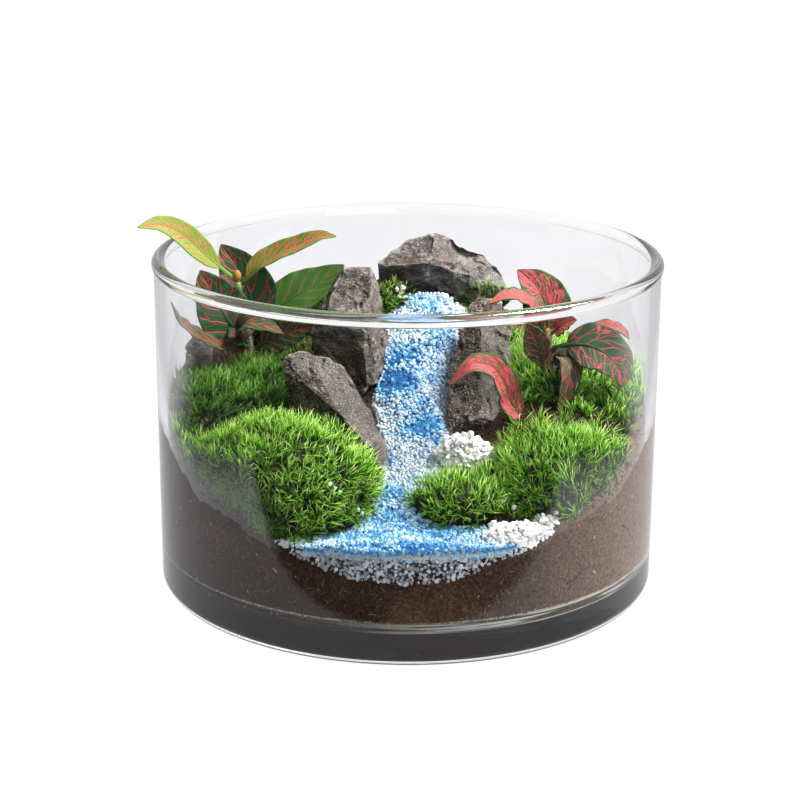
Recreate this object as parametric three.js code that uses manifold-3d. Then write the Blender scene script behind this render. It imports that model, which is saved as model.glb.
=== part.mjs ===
// Glass plant terrarium: a straight-sided glass bowl planted as a little valley, with soil, rocks,
// a stream of white and blue sand, moss cushions and two nerve plants.
// Millimetres, +Z up. The origin is the centre of the bowl's foot, the front looks along -Y.
import * as THREE from "three";
import { ConvexGeometry } from "three/addons/geometries/ConvexGeometry.js";
import { TessellateModifier } from "three/addons/modifiers/TessellateModifier.js";
import { mergeVertices } from "three/addons/utils/BufferGeometryUtils.js";
import Module from "manifold-3d";

const wasm = await Module();
wasm.setup();

// Glass bowl
const BOWL_RADIUS = 75;
const BOWL_HEIGHT = 101;
const WALL = 2.8;
const FLOOR = 9;
const FOOT_CORNER = 4.2;
const FLOOR_CORNER = 3;
const RIM_HEIGHT = 3.7;
const RIM_BULGE = 0.6;
const BOWL_SIDES = 60;

// Everything in the bowl stays this far from its neighbour
const GAP = 0.3;
const FILL_RADIUS = BOWL_RADIUS - WALL - GAP;

// Soil heights by station from front to back: [y, z] along the valley and along both sides
const VALLEY = [
  [-72, 24.5], [-66, 25], [-58, 27], [-50, 31.5], [-30, 41], [0, 55], [30, 68.5], [45, 75], [72, 76],
];
const FLANKS = [
  [-72, 25], [-68, 31], [-53, 38], [-44, 42], [-29, 52], [-15, 57.5], [0, 60], [30, 63], [72, 66],
];
const VALLEY_HALF = 5;
const FLANK_FROM = 42;
const SOIL_CELLS = 21;
const CRUMB_RELIEF = 0.35;

// Sand stream: [y, left edge, right edge], its depth over the soil and the level of the pool in front
const STREAM = [
  [-74, -40, 50], [-58, -34, 46], [-50, -17, 20], [-44, -13, 7], [-38, -11, 8], [-30, -9, 18],
  [-22, -9, 17], [0, -12, 15], [18, -10, 17], [33, -9, 18], [45, -6, 21], [58, -6, 22],
];
const SAND_DEPTH = 2.6;
const SHORE_FALL = 1.25;
const POOL_LEVEL = 33;
const POOL_BACK = -44;
const POOL_DIP = 1.5;
const GRAIN_RELIEF = 0.45;

// Blue sand on it: [y, left edge, right edge] of the upper run and of the pool
const BLUE_RUN = [
  [-17, 1, 10], [-10, -2, 11], [0, -9, 5], [10, -8, 4], [18, -5, 12], [30, 2, 15], [48, 0, 14],
];
const BLUE_POOL = [
  [-71, -22, 27], [-63, -22, 32], [-55, -14, 22], [-50, -10, 9], [-44, -7, 3], [-38, -6, 4],
];
const BLUE_DEPTH = 1.1;
const SAND_LAYERS = {
  white_sand_bed: {
    rows: STREAM, columns: 8, lines: 36, depth: 0, seed: 0, colour: "#e9edf0",
  },
  blue_sand_run: {
    rows: BLUE_RUN, columns: 4, lines: 16, depth: BLUE_DEPTH, seed: 3, colour: "#4f9be0",
  },
  blue_sand_pool: {
    rows: BLUE_POOL, columns: 7, lines: 10, depth: BLUE_DEPTH, seed: 3, colour: "#4f9be0",
  },
};

// Moss and leaves: a tuft's height, a leaf's thickness and its grid of cells
const MOSS_TUFT = 2.2;
const LEAF_THICKNESS = 0.7;
const LEAF_CELLS = [4, 7];
const STEM_RADIUS = 1.4;
const STEM_SIDES = 8;
const STEM_STEPS = 6;

const WELD = 1e-4;
const TURN = Math.PI * 2;
const v3 = (x, y, z) => new THREE.Vector3(x, y, z);
const lerp = THREE.MathUtils.lerp;
const smooth = THREE.MathUtils.smoothstep;

// A repeatable run of numbers from 0 to 1
function randomRun(seed) {
  let state = seed;
  return () => {
    state = (state * 1664525 + 1013904223) % 4294967296;
    return state / 4294967296;
  };
}

// A repeatable number from -1 to 1 for a place on the ground
function speckle(x, y) {
  const s = Math.sin(x * 12.9898 + y * 78.233) * 43758.5453;
  return 2 * (s - Math.floor(s)) - 1;
}

// Value at y of rows [y, a, b, ...], for the chosen column
function station(rows, y, column = 1) {
  const next = rows.findIndex((row) => row[0] >= y);
  if (next === 0) return rows[0][column];
  if (next < 0) return rows.at(-1)[column];
  const [low, high] = [rows[next - 1], rows[next]];
  return lerp(low[column], high[column], (y - low[0]) / (high[0] - low[0]));
}

function soilHeight(x, y) {
  const side = smooth(Math.abs(x), VALLEY_HALF, FLANK_FROM);
  return lerp(station(VALLEY, y), station(FLANKS, y), side);
}

// Depth of the sand over the soil: full along the middle, running out at the stream's edges
function sandHeight(x, y) {
  const left = station(STREAM, y, 1);
  const right = station(STREAM, y, 2);
  const across = (x - (left + right) / 2) / ((right - left) / 2);
  const bed = soilHeight(x, y) + SAND_DEPTH * (1 - SHORE_FALL * Math.abs(across) ** 3);
  return y < POOL_BACK ? Math.max(bed - POOL_DIP * smooth(POOL_BACK - y, 4, 12), POOL_LEVEL) : bed;
}

// A copy of a geometry with shared corners merged and nothing but positions
function welded(geometry) {
  const bare = geometry.clone();
  Object.keys(bare.attributes)
    .filter((name) => name !== "position")
    .forEach((name) => bare.deleteAttribute(name));
  return mergeVertices(bare, WELD);
}

// A closed geometry as a solid, with collapsed triangles dropped
function solidOf(geometry) {
  const merged = welded(geometry);
  const index = merged.index.array;
  const kept = [];
  for (let i = 0; i < index.length; i += 3) {
    const [a, b, c] = index.slice(i, i + 3);
    if (a !== b && b !== c && c !== a) kept.push(a, b, c);
  }
  return new wasm.Manifold(
    new wasm.Mesh({
      numProp: 3,
      vertProperties: new Float32Array(merged.attributes.position.array),
      triVerts: new Uint32Array(kept),
    }),
  );
}

// The largest body of a solid: scraps that a cut leaves behind are dropped
function largest(solid) {
  return solid.decompose().sort((a, b) => b.volume() - a.volume())[0];
}

// A solid less all the tools
function cut(solid, tools) {
  return tools.reduce((left, tool) => left.subtract(tool), solid);
}

function join(solids) {
  return solids.reduce((sum, next) => sum.add(next));
}

// A sheet between two surfaces given over u and v from 0 to 1, split alike on both faces
function sheet(columns, rows, top, bottom) {
  const plane = new THREE.PlaneGeometry(1, 1, columns, rows);
  const count = plane.attributes.position.count;
  const points = [];
  for (const face of [top, bottom]) {
    for (let i = 0; i < count; i++) {
      const u = plane.attributes.position.getX(i) + 0.5;
      const v = plane.attributes.position.getY(i) + 0.5;
      points.push(...face(u, v).toArray());
    }
  }
  const triangles = [...plane.index.array];
  for (let i = 0; i < plane.index.count; i += 3) {
    const [a, b, c] = plane.index.array.slice(i, i + 3);
    triangles.push(c + count, b + count, a + count);
  }
  const border = [];
  for (let i = 0; i < columns; i++) border.push(i);
  for (let j = 0; j < rows; j++) border.push(j * (columns + 1) + columns);
  for (let i = columns; i > 0; i--) border.push(rows * (columns + 1) + i);
  for (let j = rows; j > 0; j--) border.push(j * (columns + 1));
  border.forEach((a, k) => {
    const b = border[(k + 1) % border.length];
    triangles.push(a, b, a + count, b, b + count, a + count);
  });
  const geometry = new THREE.BufferGeometry();
  geometry.setAttribute("position", new THREE.Float32BufferAttribute(points, 3));
  geometry.setIndex(triangles);
  return solidOf(geometry);
}

// A turned shape from its profile of [radius, height]
function revolve(profile) {
  const points = profile.map(([r, z]) => new THREE.Vector2(r, z));
  return new THREE.LatheGeometry(points, BOWL_SIDES).rotateX(Math.PI / 2);
}

// Points of a quarter or half round in a profile, from one angle to another
function round(r, z, size, from, to, steps) {
  return Array.from({ length: steps + 1 }, (_, i) => {
    const angle = lerp(from, to, i / steps);
    return [r + size * Math.cos(angle), z + size * Math.sin(angle)];
  });
}

// Bowl: thick floor, straight wall, and a rim melted into a rounded bead
function bowlSolid() {
  const inner = BOWL_RADIUS - WALL;
  const beadCentre = BOWL_RADIUS - WALL / 2;
  const beadWidth = WALL / 2 + RIM_BULGE;
  const half = RIM_HEIGHT / 2;
  const bead = round(0, 0, 1, -Math.PI / 2, Math.PI * 1.5, 8)
    .slice(1, -1)
    .map(([c, s]) => [beadCentre + beadWidth * c, BOWL_HEIGHT - half + half * s]);
  return solidOf(
    revolve([
      [0, 0],
      ...round(BOWL_RADIUS - FOOT_CORNER, FOOT_CORNER, FOOT_CORNER, -Math.PI / 2, 0, 3),
      ...bead,
      ...round(inner - FLOOR_CORNER, FLOOR + FLOOR_CORNER, FLOOR_CORNER, 0, -Math.PI / 2, 3),
      [0, FLOOR],
    ]),
  );
}

// The room inside the bowl, less the gap, as a plug that trims what is planted in it
function fillPlug() {
  const low = FLOOR + GAP;
  return solidOf(
    revolve([
      [0, low],
      ...round(FILL_RADIUS - FLOOR_CORNER, low + FLOOR_CORNER, FLOOR_CORNER, -Math.PI / 2, 0, 3),
      [FILL_RADIUS, BOWL_HEIGHT * 2],
      [0, BOWL_HEIGHT * 2],
    ]),
  );
}

// The ground as a block whose top is the soil surface, raised by lift
function ground(lift) {
  const place = (...uv) => uv.map((share) => lerp(-BOWL_RADIUS, BOWL_RADIUS, share));
  return sheet(
    SOIL_CELLS,
    SOIL_CELLS,
    (u, v) => {
      const [x, y] = place(u, v);
      return v3(x, y, soilHeight(x, y) + CRUMB_RELIEF * speckle(x, y) + lift);
    },
    (u, v) => v3(...place(u, v), 0),
  );
}

// A block whose top is the sand's surface between the edges of rows, with depth added and raised by lift
function sandBlock({ rows, columns, lines, depth, seed }, lift = 0) {
  const [front, back] = [rows[0][0], rows.at(-1)[0]];
  const place = (u, v) => {
    const y = lerp(front, back, v);
    return [lerp(station(rows, y, 1), station(rows, y, 2), u), y];
  };
  return sheet(
    columns,
    lines,
    (u, v) => {
      const [x, y] = place(u, v);
      return v3(x, y, sandHeight(x, y) + depth + lift + GRAIN_RELIEF * speckle(x + seed, y));
    },
    (u, v) => v3(...place(u, v), 0),
  );
}

// A rock from its corners, with a weathered face, scaled about its middle
function rockSolid(corners, scale = 1) {
  const hull = new ConvexGeometry(corners.map((corner) => v3(...corner)));
  hull.deleteAttribute("normal");
  const fine = welded(new TessellateModifier(ROCK_EDGE, ROCK_SPLITS).modify(hull));
  const position = fine.attributes.position;
  const centre = corners.reduce((sum, corner) => sum.add(v3(...corner)), v3(0, 0, 0));
  centre.divideScalar(corners.length);
  for (let i = 0; i < position.count; i++) {
    const p = v3(0, 0, 0).fromBufferAttribute(position, i);
    const wave = Math.sin(p.x * 0.9 + p.z * 0.5) * Math.cos(p.y * 0.8 - p.z * 0.7);
    const swell = wave + speckle(p.x, p.y + p.z) * 0.5;
    const out = p.clone().sub(centre);
    out.setLength((out.length() + ROCK_RELIEF * swell) * scale);
    position.setXYZ(i, ...out.add(centre).toArray());
  }
  return solidOf(fine);
}

// An egg-shaped lobe whose spaced corners stand out as tufts or grains of the given height
function tuftedLobe({ at, size, detail }, tuft, seed) {
  const random = randomRun(seed);
  const ball = welded(new THREE.IcosahedronGeometry(1, detail));
  const position = ball.attributes.position;
  const neighbours = Array.from({ length: position.count }, () => new Set());
  for (let i = 0; i < ball.index.count; i += 3) {
    const triangle = [...ball.index.array.slice(i, i + 3)];
    for (const a of triangle) for (const b of triangle) if (a !== b) neighbours[a].add(b);
  }
  const tips = new Set();
  for (let i = 0; i < position.count; i++) {
    if (![...neighbours[i]].some((near) => tips.has(near))) tips.add(i);
  }
  const [width, depth, height] = size;
  for (let i = 0; i < position.count; i++) {
    const out = v3(0, 0, 0).fromBufferAttribute(position, i);
    const normal = v3(out.x / width, out.y / depth, out.z / height).normalize();
    const swell = 1 + 0.05 * Math.sin(out.x * 7 + seed) * Math.cos(out.y * 6 + out.z * 5);
    const length = tips.has(i) ? tuft * (0.75 + 0.5 * random()) : -0.15 * tuft * random();
    const lean = v3(random() - 0.5, random() - 0.5, random() - 0.5).multiplyScalar(0.3 * tuft);
    const p = v3(out.x * width * swell, out.y * depth * swell, out.z * height * swell);
    p.addScaledVector(normal, length).add(lean).add(v3(...at));
    position.setXYZ(i, ...p.toArray());
  }
  return solidOf(ball);
}

// A plain egg about a middle, with its half-sizes
function egg(at, size, detail) {
  return solidOf(new THREE.IcosahedronGeometry(1, detail).scale(...size).translate(...at));
}

// The egg that holds a lobe with its tufts, for cutting a neighbour clear
function lobeHull({ at, size }, margin) {
  return egg(at, size.map((half) => half * 1.05 + margin), 4);
}

// A stem as a tube along a path
function tube(path, radius) {
  const circle = new THREE.Shape(
    Array.from({ length: STEM_SIDES }, (_, i) => {
      const angle = (TURN * i) / STEM_SIDES;
      return new THREE.Vector2(radius * Math.cos(angle), radius * Math.sin(angle));
    }),
  );
  const extrudePath = new THREE.CatmullRomCurve3(path.map((p) => v3(...p)));
  const settings = { steps: STEM_STEPS, extrudePath, bevelEnabled: false };
  return solidOf(new THREE.ExtrudeGeometry(circle, settings));
}

// Half-width of a leaf along its length, as a share of its widest: stalk, ovate blade, pointed tip
function leafOutline(t, stalk) {
  if (t < stalk) return 0.16;
  const along = (t - stalk) / (1 - stalk);
  return Math.max(0.12, Math.sin(Math.PI * along ** 0.75) ** 0.75);
}

// A leaf blade along its midrib, facing up as told, with its sides folded up by cup
function leafSolid({ rib, width, face, cup = 0.25, stalk = 0.14 }, thickness = LEAF_THICKNESS) {
  const curve = new THREE.CatmullRomCurve3(rib.map((p) => v3(...p)), false, "centripetal");
  const place = (u, v, side) => {
    const along = curve.getPoint(v);
    const tangent = curve.getTangent(v);
    const across = v3(0, 0, 0).crossVectors(tangent, v3(...face)).normalize();
    const normal = v3(0, 0, 0).crossVectors(across, tangent).normalize();
    const half = (width / 2) * leafOutline(v, stalk);
    const s = 2 * u - 1;
    const rise = cup * half * Math.abs(s) ** 1.4 + side * (thickness / 2);
    return along.addScaledVector(across, s * half).addScaledVector(normal, rise);
  };
  return sheet(...LEAF_CELLS, (u, v) => place(u, v, 1), (u, v) => place(u, v, -1));
}

// Rocks by their corners, sunk a few millimetres into the soil
const ROCKS = {
  rock_back: [
    [-10, 46, 87], [-1, 53, 93], [9, 55, 95], [15, 55, 93], [20, 55, 88], [25, 58, 87], [31, 56, 81],
    [34, 52, 76], [7, 44, 88], [0, 42, 84], [-4, 43, 75], [20, 46, 74], [31, 50, 70], [0, 46, 68],
    [10, 62, 72], [28, 62, 72], [-6, 58, 80], [-8, 52, 70],
  ],
  rock_left_tall: [
    [-20, 10, 94], [-11, 12, 94], [-7, 12, 83], [-5, 10, 79], [-7, 8, 62], [-20, 3, 91], [-29, 2, 77],
    [-29, -2, 73], [-14, -3, 61], [-9, 2, 60], [-12, -1, 82], [-16, -1, 55], [-27, 4, 57],
    [-24, 16, 86], [-22, 19, 60], [-8, 16, 58],
  ],
  rock_left_front: [
    [-36, -18, 74], [-32, -12, 74], [-24, -10, 72], [-18, -12, 69], [-11, -17, 58], [-6, -21, 50],
    [-5, -25, 46], [-7, -32, 42], [-10, -34, 42], [-25, -21, 68], [-36, -22, 64], [-31, -26, 58],
    [-18, -29, 56], [-12, -33, 49], [-14, -30, 38], [-34, -16, 54], [-16, -10, 50],
  ],
  rock_right: [
    [19, 23, 79], [22, 27, 81], [29, 25, 80], [32, 16, 72], [32, 4, 62], [16, 14, 73], [14, 4, 66],
    [13, -4, 62], [11, -13, 54], [13, -20, 49], [20, -23, 47], [29, -19, 46], [31, -10, 53],
    [22, 9, 75], [23, -8, 61], [20, 24, 60], [29, 20, 58], [13, -12, 44], [28, -12, 42],
  ],
  stone_left_small: [
    [-69, 14, 68], [-65, 16, 73], [-61, 15, 71], [-60, 12, 65], [-61, 10, 59], [-68, 9, 64],
    [-65, 8, 68], [-69, 12, 60], [-63, 19, 62],
  ],
};
const ROCK_EDGE = 9;
const ROCK_SPLITS = 7;
const ROCK_RELIEF = 0.35;
const SOCKET_SCALE = 1.04;
const ROCK_COLOURS = { stone_left_small: "#a39c98" };

// Moss cushions: each lobe by its middle and half-sizes
const MOSS = {
  moss_front_left: [{ at: [-36, -38.5, 40], size: [27, 23.5, 21], detail: 9 }],
  moss_front_right: [
    { at: [46, -33, 41], size: [22, 23, 16], detail: 6 },
    { at: [15, -43, 38], size: [13, 10, 8.5], detail: 5 },
  ],
  moss_back_left: [
    { at: [-57, -8, 53], size: [15, 21, 12], detail: 6 },
    { at: [-42, 2, 57], size: [14, 19, 9.5], detail: 5 },
  ],
  moss_back_right: [
    { at: [60, 6, 57], size: [14, 19, 10], detail: 5 },
    { at: [44, 11, 60], size: [12, 23, 10.5], detail: 5 },
  ],
  moss_back: [
    { at: [-27, 49, 69], size: [15, 12, 8], detail: 4 },
    { at: [-46, 42, 63], size: [13, 14, 9], detail: 4 },
  ],
  moss_tuft_left: [{ at: [-5, 43, 74], size: [6, 5, 7], detail: 3 }],
  moss_tuft_right: [{ at: [24, 48, 75], size: [11, 4, 4], detail: 2 }],
};
const MOSS_COLOURS = ["#4f8a1f", "#5a9a24", "#477d1c", "#528f22", "#4d8c1e", "#5fa028", "#4a861f"];

// White gravel heaps: lobes of coarse grains
const HEAPS = {
  white_gravel_pile: [{ at: [17, -27, 47], size: [7.5, 4.5, 5], detail: 3 }],
  white_gravel_shore: [
    { at: [31, -60, 33], size: [10, 5, 4], detail: 3 },
    { at: [41, -55, 35], size: [6, 4, 3.5], detail: 2 },
  ],
};
const GRAIN_HEIGHT = 0.8;

// Two nerve plants: the stem's path and the leaves, each by its midrib, width and the way it faces
const PLANTS = {
  left: {
    side: "left",
    stem: [[-49, 15, 54], [-49, 16, 67.5], [-51, 17, 77], [-52, 18, 88]],
    bud: { at: [-52, 18, 90], size: [1.9, 1.6, 3] },
    stemColour: "#7f9a3c",
    leafColour: "#4c7d2f",
    leaves: {
      long_over_rim: {
        rib: [
          [-53, 17, 88.5], [-59, 15, 94], [-64, 12, 99.5], [-69, 8, 105],
          [-74, 4, 108.5], [-80, -1, 109],
        ],
        width: 8,
        face: [0.2, -0.8, 0.7],
      },
      long_inward: {
        rib: [
          [-50, 17, 87], [-47, 18, 91.5], [-41, 19, 96], [-33, 20, 99],
          [-27, 21, 100.5], [-22, 22, 100.8],
        ],
        width: 7,
        face: [0, -0.6, 0.9],
      },
      upright_back: {
        rib: [[-50, 19, 74], [-50, 23, 80], [-53, 26, 87], [-58, 29, 96.5]],
        width: 11,
        face: [0.2, -1, 0.3],
      },
      broad_left: {
        rib: [[-51, 14, 71], [-56, 11, 77], [-59, 9, 84], [-63, 8, 94]],
        width: 13.5,
        face: [0.4, -1, 0.2],
      },
      broad_right: {
        rib: [[-48, 20, 73], [-42, 25, 76.5], [-34, 28, 81], [-27, 31, 84.5], [-20, 34, 89]],
        width: 13,
        face: [-0.2, -0.8, 0.6],
      },
      low_along_glass: {
        rib: [
          [-50, 14, 68.5], [-56, 8, 69.5], [-61, 3, 72.5], [-65, -2, 76.5],
          [-69, -7, 82], [-70, -11, 88.5],
        ],
        width: 6.5,
        face: [0.3, -0.3, 1],
      },
      small_centre: {
        rib: [[-50, 14, 69.5], [-48, 10, 74], [-44, 8, 76.5], [-38, 6, 74.5]],
        width: 8,
        face: [0.1, -0.6, 1],
      },
      low_right: {
        rib: [[-48, 16, 66.5], [-42, 14, 69], [-36, 12, 71], [-29, 11.5, 74.5]],
        width: 7.5,
        face: [0, -0.9, 0.5],
      },
    },
  },
  right: {
    side: "right",
    stem: [[42, -8, 46], [42, -6, 57], [43, -4, 66], [42, -1, 77]],
    bud: { at: [42, -1, 77.5], size: [1.6, 1.6, 2] },
    stemColour: "#b5766a",
    leafColour: "#a83c4c",
    leaves: {
      top_crown: {
        rib: [[42, 1, 79], [41, 2, 84], [40, 3, 88.5], [39, 6, 92.5]],
        width: 11.5,
        face: [0, -1, 0.2],
      },
      top_left: {
        rib: [[40.5, -1.5, 79], [38, -3, 86], [34, -5, 88.7], [30, -7, 89.8], [24, -10, 89]],
        width: 6,
        face: [-0.3, -0.3, 1],
      },
      top_right: {
        rib: [[43.5, -2, 78], [46, -4, 80], [50, -6, 82.5]],
        width: 6,
        face: [0, -0.5, 1],
      },
      dark_left: {
        rib: [[41, -6, 66], [38, -9, 73], [37, -11, 78.5], [35, -14, 85]],
        width: 9,
        face: [0.1, -1, 0.2],
      },
      big_right: {
        rib: [
          [44, -4, 73.4], [49, -7, 75.2], [54, -9, 75.2], [59, -11, 73],
          [62, -14, 69.3], [63, -17, 65],
        ],
        width: 13.5,
        face: [0.2, -0.8, 0.6],
      },
      behind_right: {
        rib: [[43.5, -1, 70.5], [54, 4, 74.5], [62, 7, 76.5], [69, 8, 75]],
        width: 5,
        face: [0, -0.3, 1],
      },
      drooping: {
        rib: [[43, -4, 69], [46.5, -11.5, 71], [47.5, -16, 67], [46, -18, 62], [44, -19, 58.5]],
        width: 7,
        face: [0.1, -1, 0.2],
      },
      arching_left: {
        rib: [
          [40, -8.5, 59], [34, -13, 59.5], [29, -17, 63], [27, -21, 68.5],
          [22, -26, 72.5], [17, -29, 73], [12, -31, 69.7],
        ],
        width: 7.5,
        face: [0.1, -0.6, 0.8],
      },
    },
  },
};

const terrarium = new THREE.Group();
terrarium.name = "glass_plant_terrarium";

function addPart(name, solid, colour, roughness, extras = {}) {
  const mesh = solid.getMesh();
  const geometry = new THREE.BufferGeometry();
  geometry.setAttribute("position", new THREE.BufferAttribute(mesh.vertProperties, 3));
  geometry.setIndex(new THREE.BufferAttribute(mesh.triVerts, 1));
  geometry.computeVertexNormals();
  const material = new THREE.MeshStandardMaterial({ color: colour, roughness, metalness: 0, ...extras });
  const part = new THREE.Mesh(geometry, material);
  part.name = name;
  terrarium.add(part);
}

const plug = fillPlug();
const rocks = Object.entries(ROCKS);
const sockets = rocks.map(([, corners]) => rockSolid(corners, SOCKET_SCALE));
const stemHoles = Object.values(PLANTS).map(({ stem: [[x, y, z], ...rest] }) =>
  tube([[x, y, z - GAP], ...rest], STEM_RADIUS + GAP),
);

addPart("glass_bowl", bowlSolid(), "#eef3f4", 0.05, { transparent: true, opacity: 0.35 });
addPart("soil", largest(cut(ground(0).intersect(plug), [...sockets, ...stemHoles])), "#4a3a2f", 0.95);
rocks.forEach(([name, corners]) => {
  addPart(name, rockSolid(corners), ROCK_COLOURS[name] ?? "#77716c", 0.85);
});

// Sand: each layer is cut by what lies under it, raised by the gap
const underlay = [ground(GAP), ...sockets];
for (const [name, layer] of Object.entries(SAND_LAYERS)) {
  const bed = sandBlock(layer).intersect(plug);
  addPart(name, largest(cut(bed, underlay)), layer.colour, 0.85);
  underlay.push(sandBlock(layer, GAP));
}

// Gravel heaps, with the eggs that keep the moss clear of them
const mossTools = [...underlay, ...stemHoles];
Object.entries(HEAPS).forEach(([name, lobes], i) => {
  const heap = join(lobes.map((lobe, j) => tuftedLobe(lobe, GRAIN_HEIGHT, 20 + 5 * i + j)));
  addPart(name, largest(cut(heap.intersect(plug), underlay)), "#f2f2f0", 0.8);
  mossTools.push(...lobes.map((lobe) => lobeHull(lobe, GRAIN_HEIGHT + GAP)));
});

// Plants: a leaf is cut clear of its stem and bud, and a thicker copy of it clears the moss
Object.values(PLANTS).forEach(({ bud, ...plant }, i) => {
  const stem = join([tube(plant.stem, STEM_RADIUS), egg(bud.at, bud.size, 1)]);
  addPart(`stem_${plant.side}`, stem, plant.stemColour, 0.6);
  const clearance = [stemHoles[i], egg(bud.at, bud.size.map((half) => half + GAP), 1)];
  for (const [name, leaf] of Object.entries(plant.leaves)) {
    const blade = largest(cut(leafSolid(leaf), clearance));
    addPart(`leaf_${plant.side}_${name}`, blade, plant.leafColour, 0.45);
    const room = 4 * GAP;
    mossTools.push(leafSolid({ ...leaf, width: leaf.width + room }, LEAF_THICKNESS + room));
  }
});

// Moss: each cushion is cut clear of all else and of the cushions before it
Object.entries(MOSS).forEach(([name, lobes], i) => {
  const cushion = join(lobes.map((lobe, j) => tuftedLobe(lobe, MOSS_TUFT, 3 + 7 * i + j)));
  addPart(name, largest(cut(cushion.intersect(plug), mossTools)), MOSS_COLOURS[i], 0.9);
  mossTools.push(...lobes.map((lobe) => lobeHull(lobe, MOSS_TUFT * 1.4 + GAP)));
});

export default terrarium;
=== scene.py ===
"""Glass plant terrarium: a straight glass bowl planted as a little valley.

Metres, +Z up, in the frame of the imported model. The solids of the model give each piece its
place and its form. The pieces here are the finer ones that show: glass turned from its profile,
moss leaf by leaf, sand grain by grain, broken rock, and the veined leaves of two nerve plants.
"""

import logging
import math
from collections.abc import Callable, Iterable, Sequence
from dataclasses import dataclass, field
from enum import Enum

import bmesh
import bpy
import numpy as np
from mathutils import Matrix, Vector, noise
from mathutils.bvhtree import BVHTree


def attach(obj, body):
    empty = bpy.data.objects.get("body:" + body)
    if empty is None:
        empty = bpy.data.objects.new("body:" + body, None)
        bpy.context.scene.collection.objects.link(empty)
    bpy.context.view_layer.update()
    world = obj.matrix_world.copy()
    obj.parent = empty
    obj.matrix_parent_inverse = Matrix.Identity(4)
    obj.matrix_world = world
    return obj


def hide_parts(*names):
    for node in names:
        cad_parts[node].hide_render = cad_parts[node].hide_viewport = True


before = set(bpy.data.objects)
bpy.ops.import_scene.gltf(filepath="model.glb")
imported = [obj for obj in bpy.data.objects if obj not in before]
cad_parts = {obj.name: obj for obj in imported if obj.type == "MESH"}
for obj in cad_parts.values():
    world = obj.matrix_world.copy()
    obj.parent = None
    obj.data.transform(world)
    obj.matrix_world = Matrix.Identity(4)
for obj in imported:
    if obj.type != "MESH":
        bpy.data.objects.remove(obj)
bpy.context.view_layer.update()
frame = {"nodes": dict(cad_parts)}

log = logging.getLogger("terrarium")

MM = 0.001
BODY = "root"
Point = tuple[float, float, float]
Flat = tuple[float, float]
Tree = bpy.types.NodeTree
Node = bpy.types.Node
BMesh = bmesh.types.BMesh
Rng = np.random.Generator


def linear(code: str) -> tuple[float, float, float, float]:
    """Turns an sRGB colour into the linear one that a shader takes.

    Args:
        code: The colour as "#rrggbb".

    Returns:
        Red, green, blue and an alpha of 1.
    """
    parts = [int(code[i : i + 2], 16) / 255 for i in (1, 3, 5)]
    low = [c / 12.92 if c <= 0.04045 else ((c + 0.055) / 1.055) ** 2.4 for c in parts]
    return (*low, 1.0)


def add(
    tree: Tree, kind: str, *values: object, stops: Sequence[tuple[float, str]] = (), **settings: object
) -> Node:
    """Adds a node with its settings and links.

    Args:
        tree: The node tree that gets it.
        kind: Its type, after "ShaderNode".
        values: What its first inputs take: a value, a node or an output socket.
        stops: Places and colours of a colour ramp.
        settings: Its own properties, and with a capital letter its other inputs.

    Returns:
        The new node.
    """
    node = tree.nodes.new(f"ShaderNode{kind}")
    inputs: dict[int | str, object] = dict(enumerate(values))
    for name, value in settings.items():
        if name[0].isupper():
            inputs[name.replace("_", " ")] = value
        else:
            setattr(node, name, value)
    for name, value in inputs.items():
        if isinstance(value, Node):
            value = next(socket for socket in value.outputs if socket.enabled)
        if isinstance(value, bpy.types.NodeSocket):
            tree.links.new(value, node.inputs[name])
        else:
            node.inputs[name].default_value = value
    for i, (place, code) in enumerate(stops):
        ramp = node.color_ramp.elements
        stop = ramp[i] if i < 2 else ramp.new(place)
        stop.position, stop.color = place, linear(code)
    return node


@dataclass(frozen=True)
class Finish:
    """A finish by its name. Each kind of finish builds its own shader."""

    name: str

    def shader(self, tree: Tree) -> Node:
        """Stands for the shader that each kind of finish builds."""
        raise NotImplementedError

    def material(self) -> bpy.types.Material:
        """Makes a material with the finish's shader.

        Returns:
            The material.
        """
        material = bpy.data.materials.new(self.name)
        material.use_nodes = True
        material.node_tree.nodes.clear()
        add(material.node_tree, "OutputMaterial", self.shader(material.node_tree))
        return material


@dataclass(frozen=True)
class PressedGlass(Finish):
    """Clear soda-lime glass, pressed and fire-polished: no grain, bright edges, a faint cool tint."""

    name: str = "soda_lime_glass_fire_polished"
    tint: str = "#fbfdfd"
    ior: float = 1.5

    def shader(self, tree: Tree) -> Node:
        """Builds the glass, which lets the light of lamps and of lit surfaces through unbent.

        Args:
            tree: The material's nodes.

        Returns:
            The shader.
        """
        tint = linear(self.tint)
        glass = add(tree, "BsdfPrincipled", tint, Roughness=0.0, IOR=self.ior, Transmission_Weight=1.0)
        clear = add(tree, "BsdfTransparent", tint)
        path = add(tree, "LightPath").outputs
        lamps = add(tree, "MixShader", path["Is Shadow Ray"], glass, clear)
        return add(tree, "MixShader", path["Is Diffuse Ray"], lamps, clear)


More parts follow.
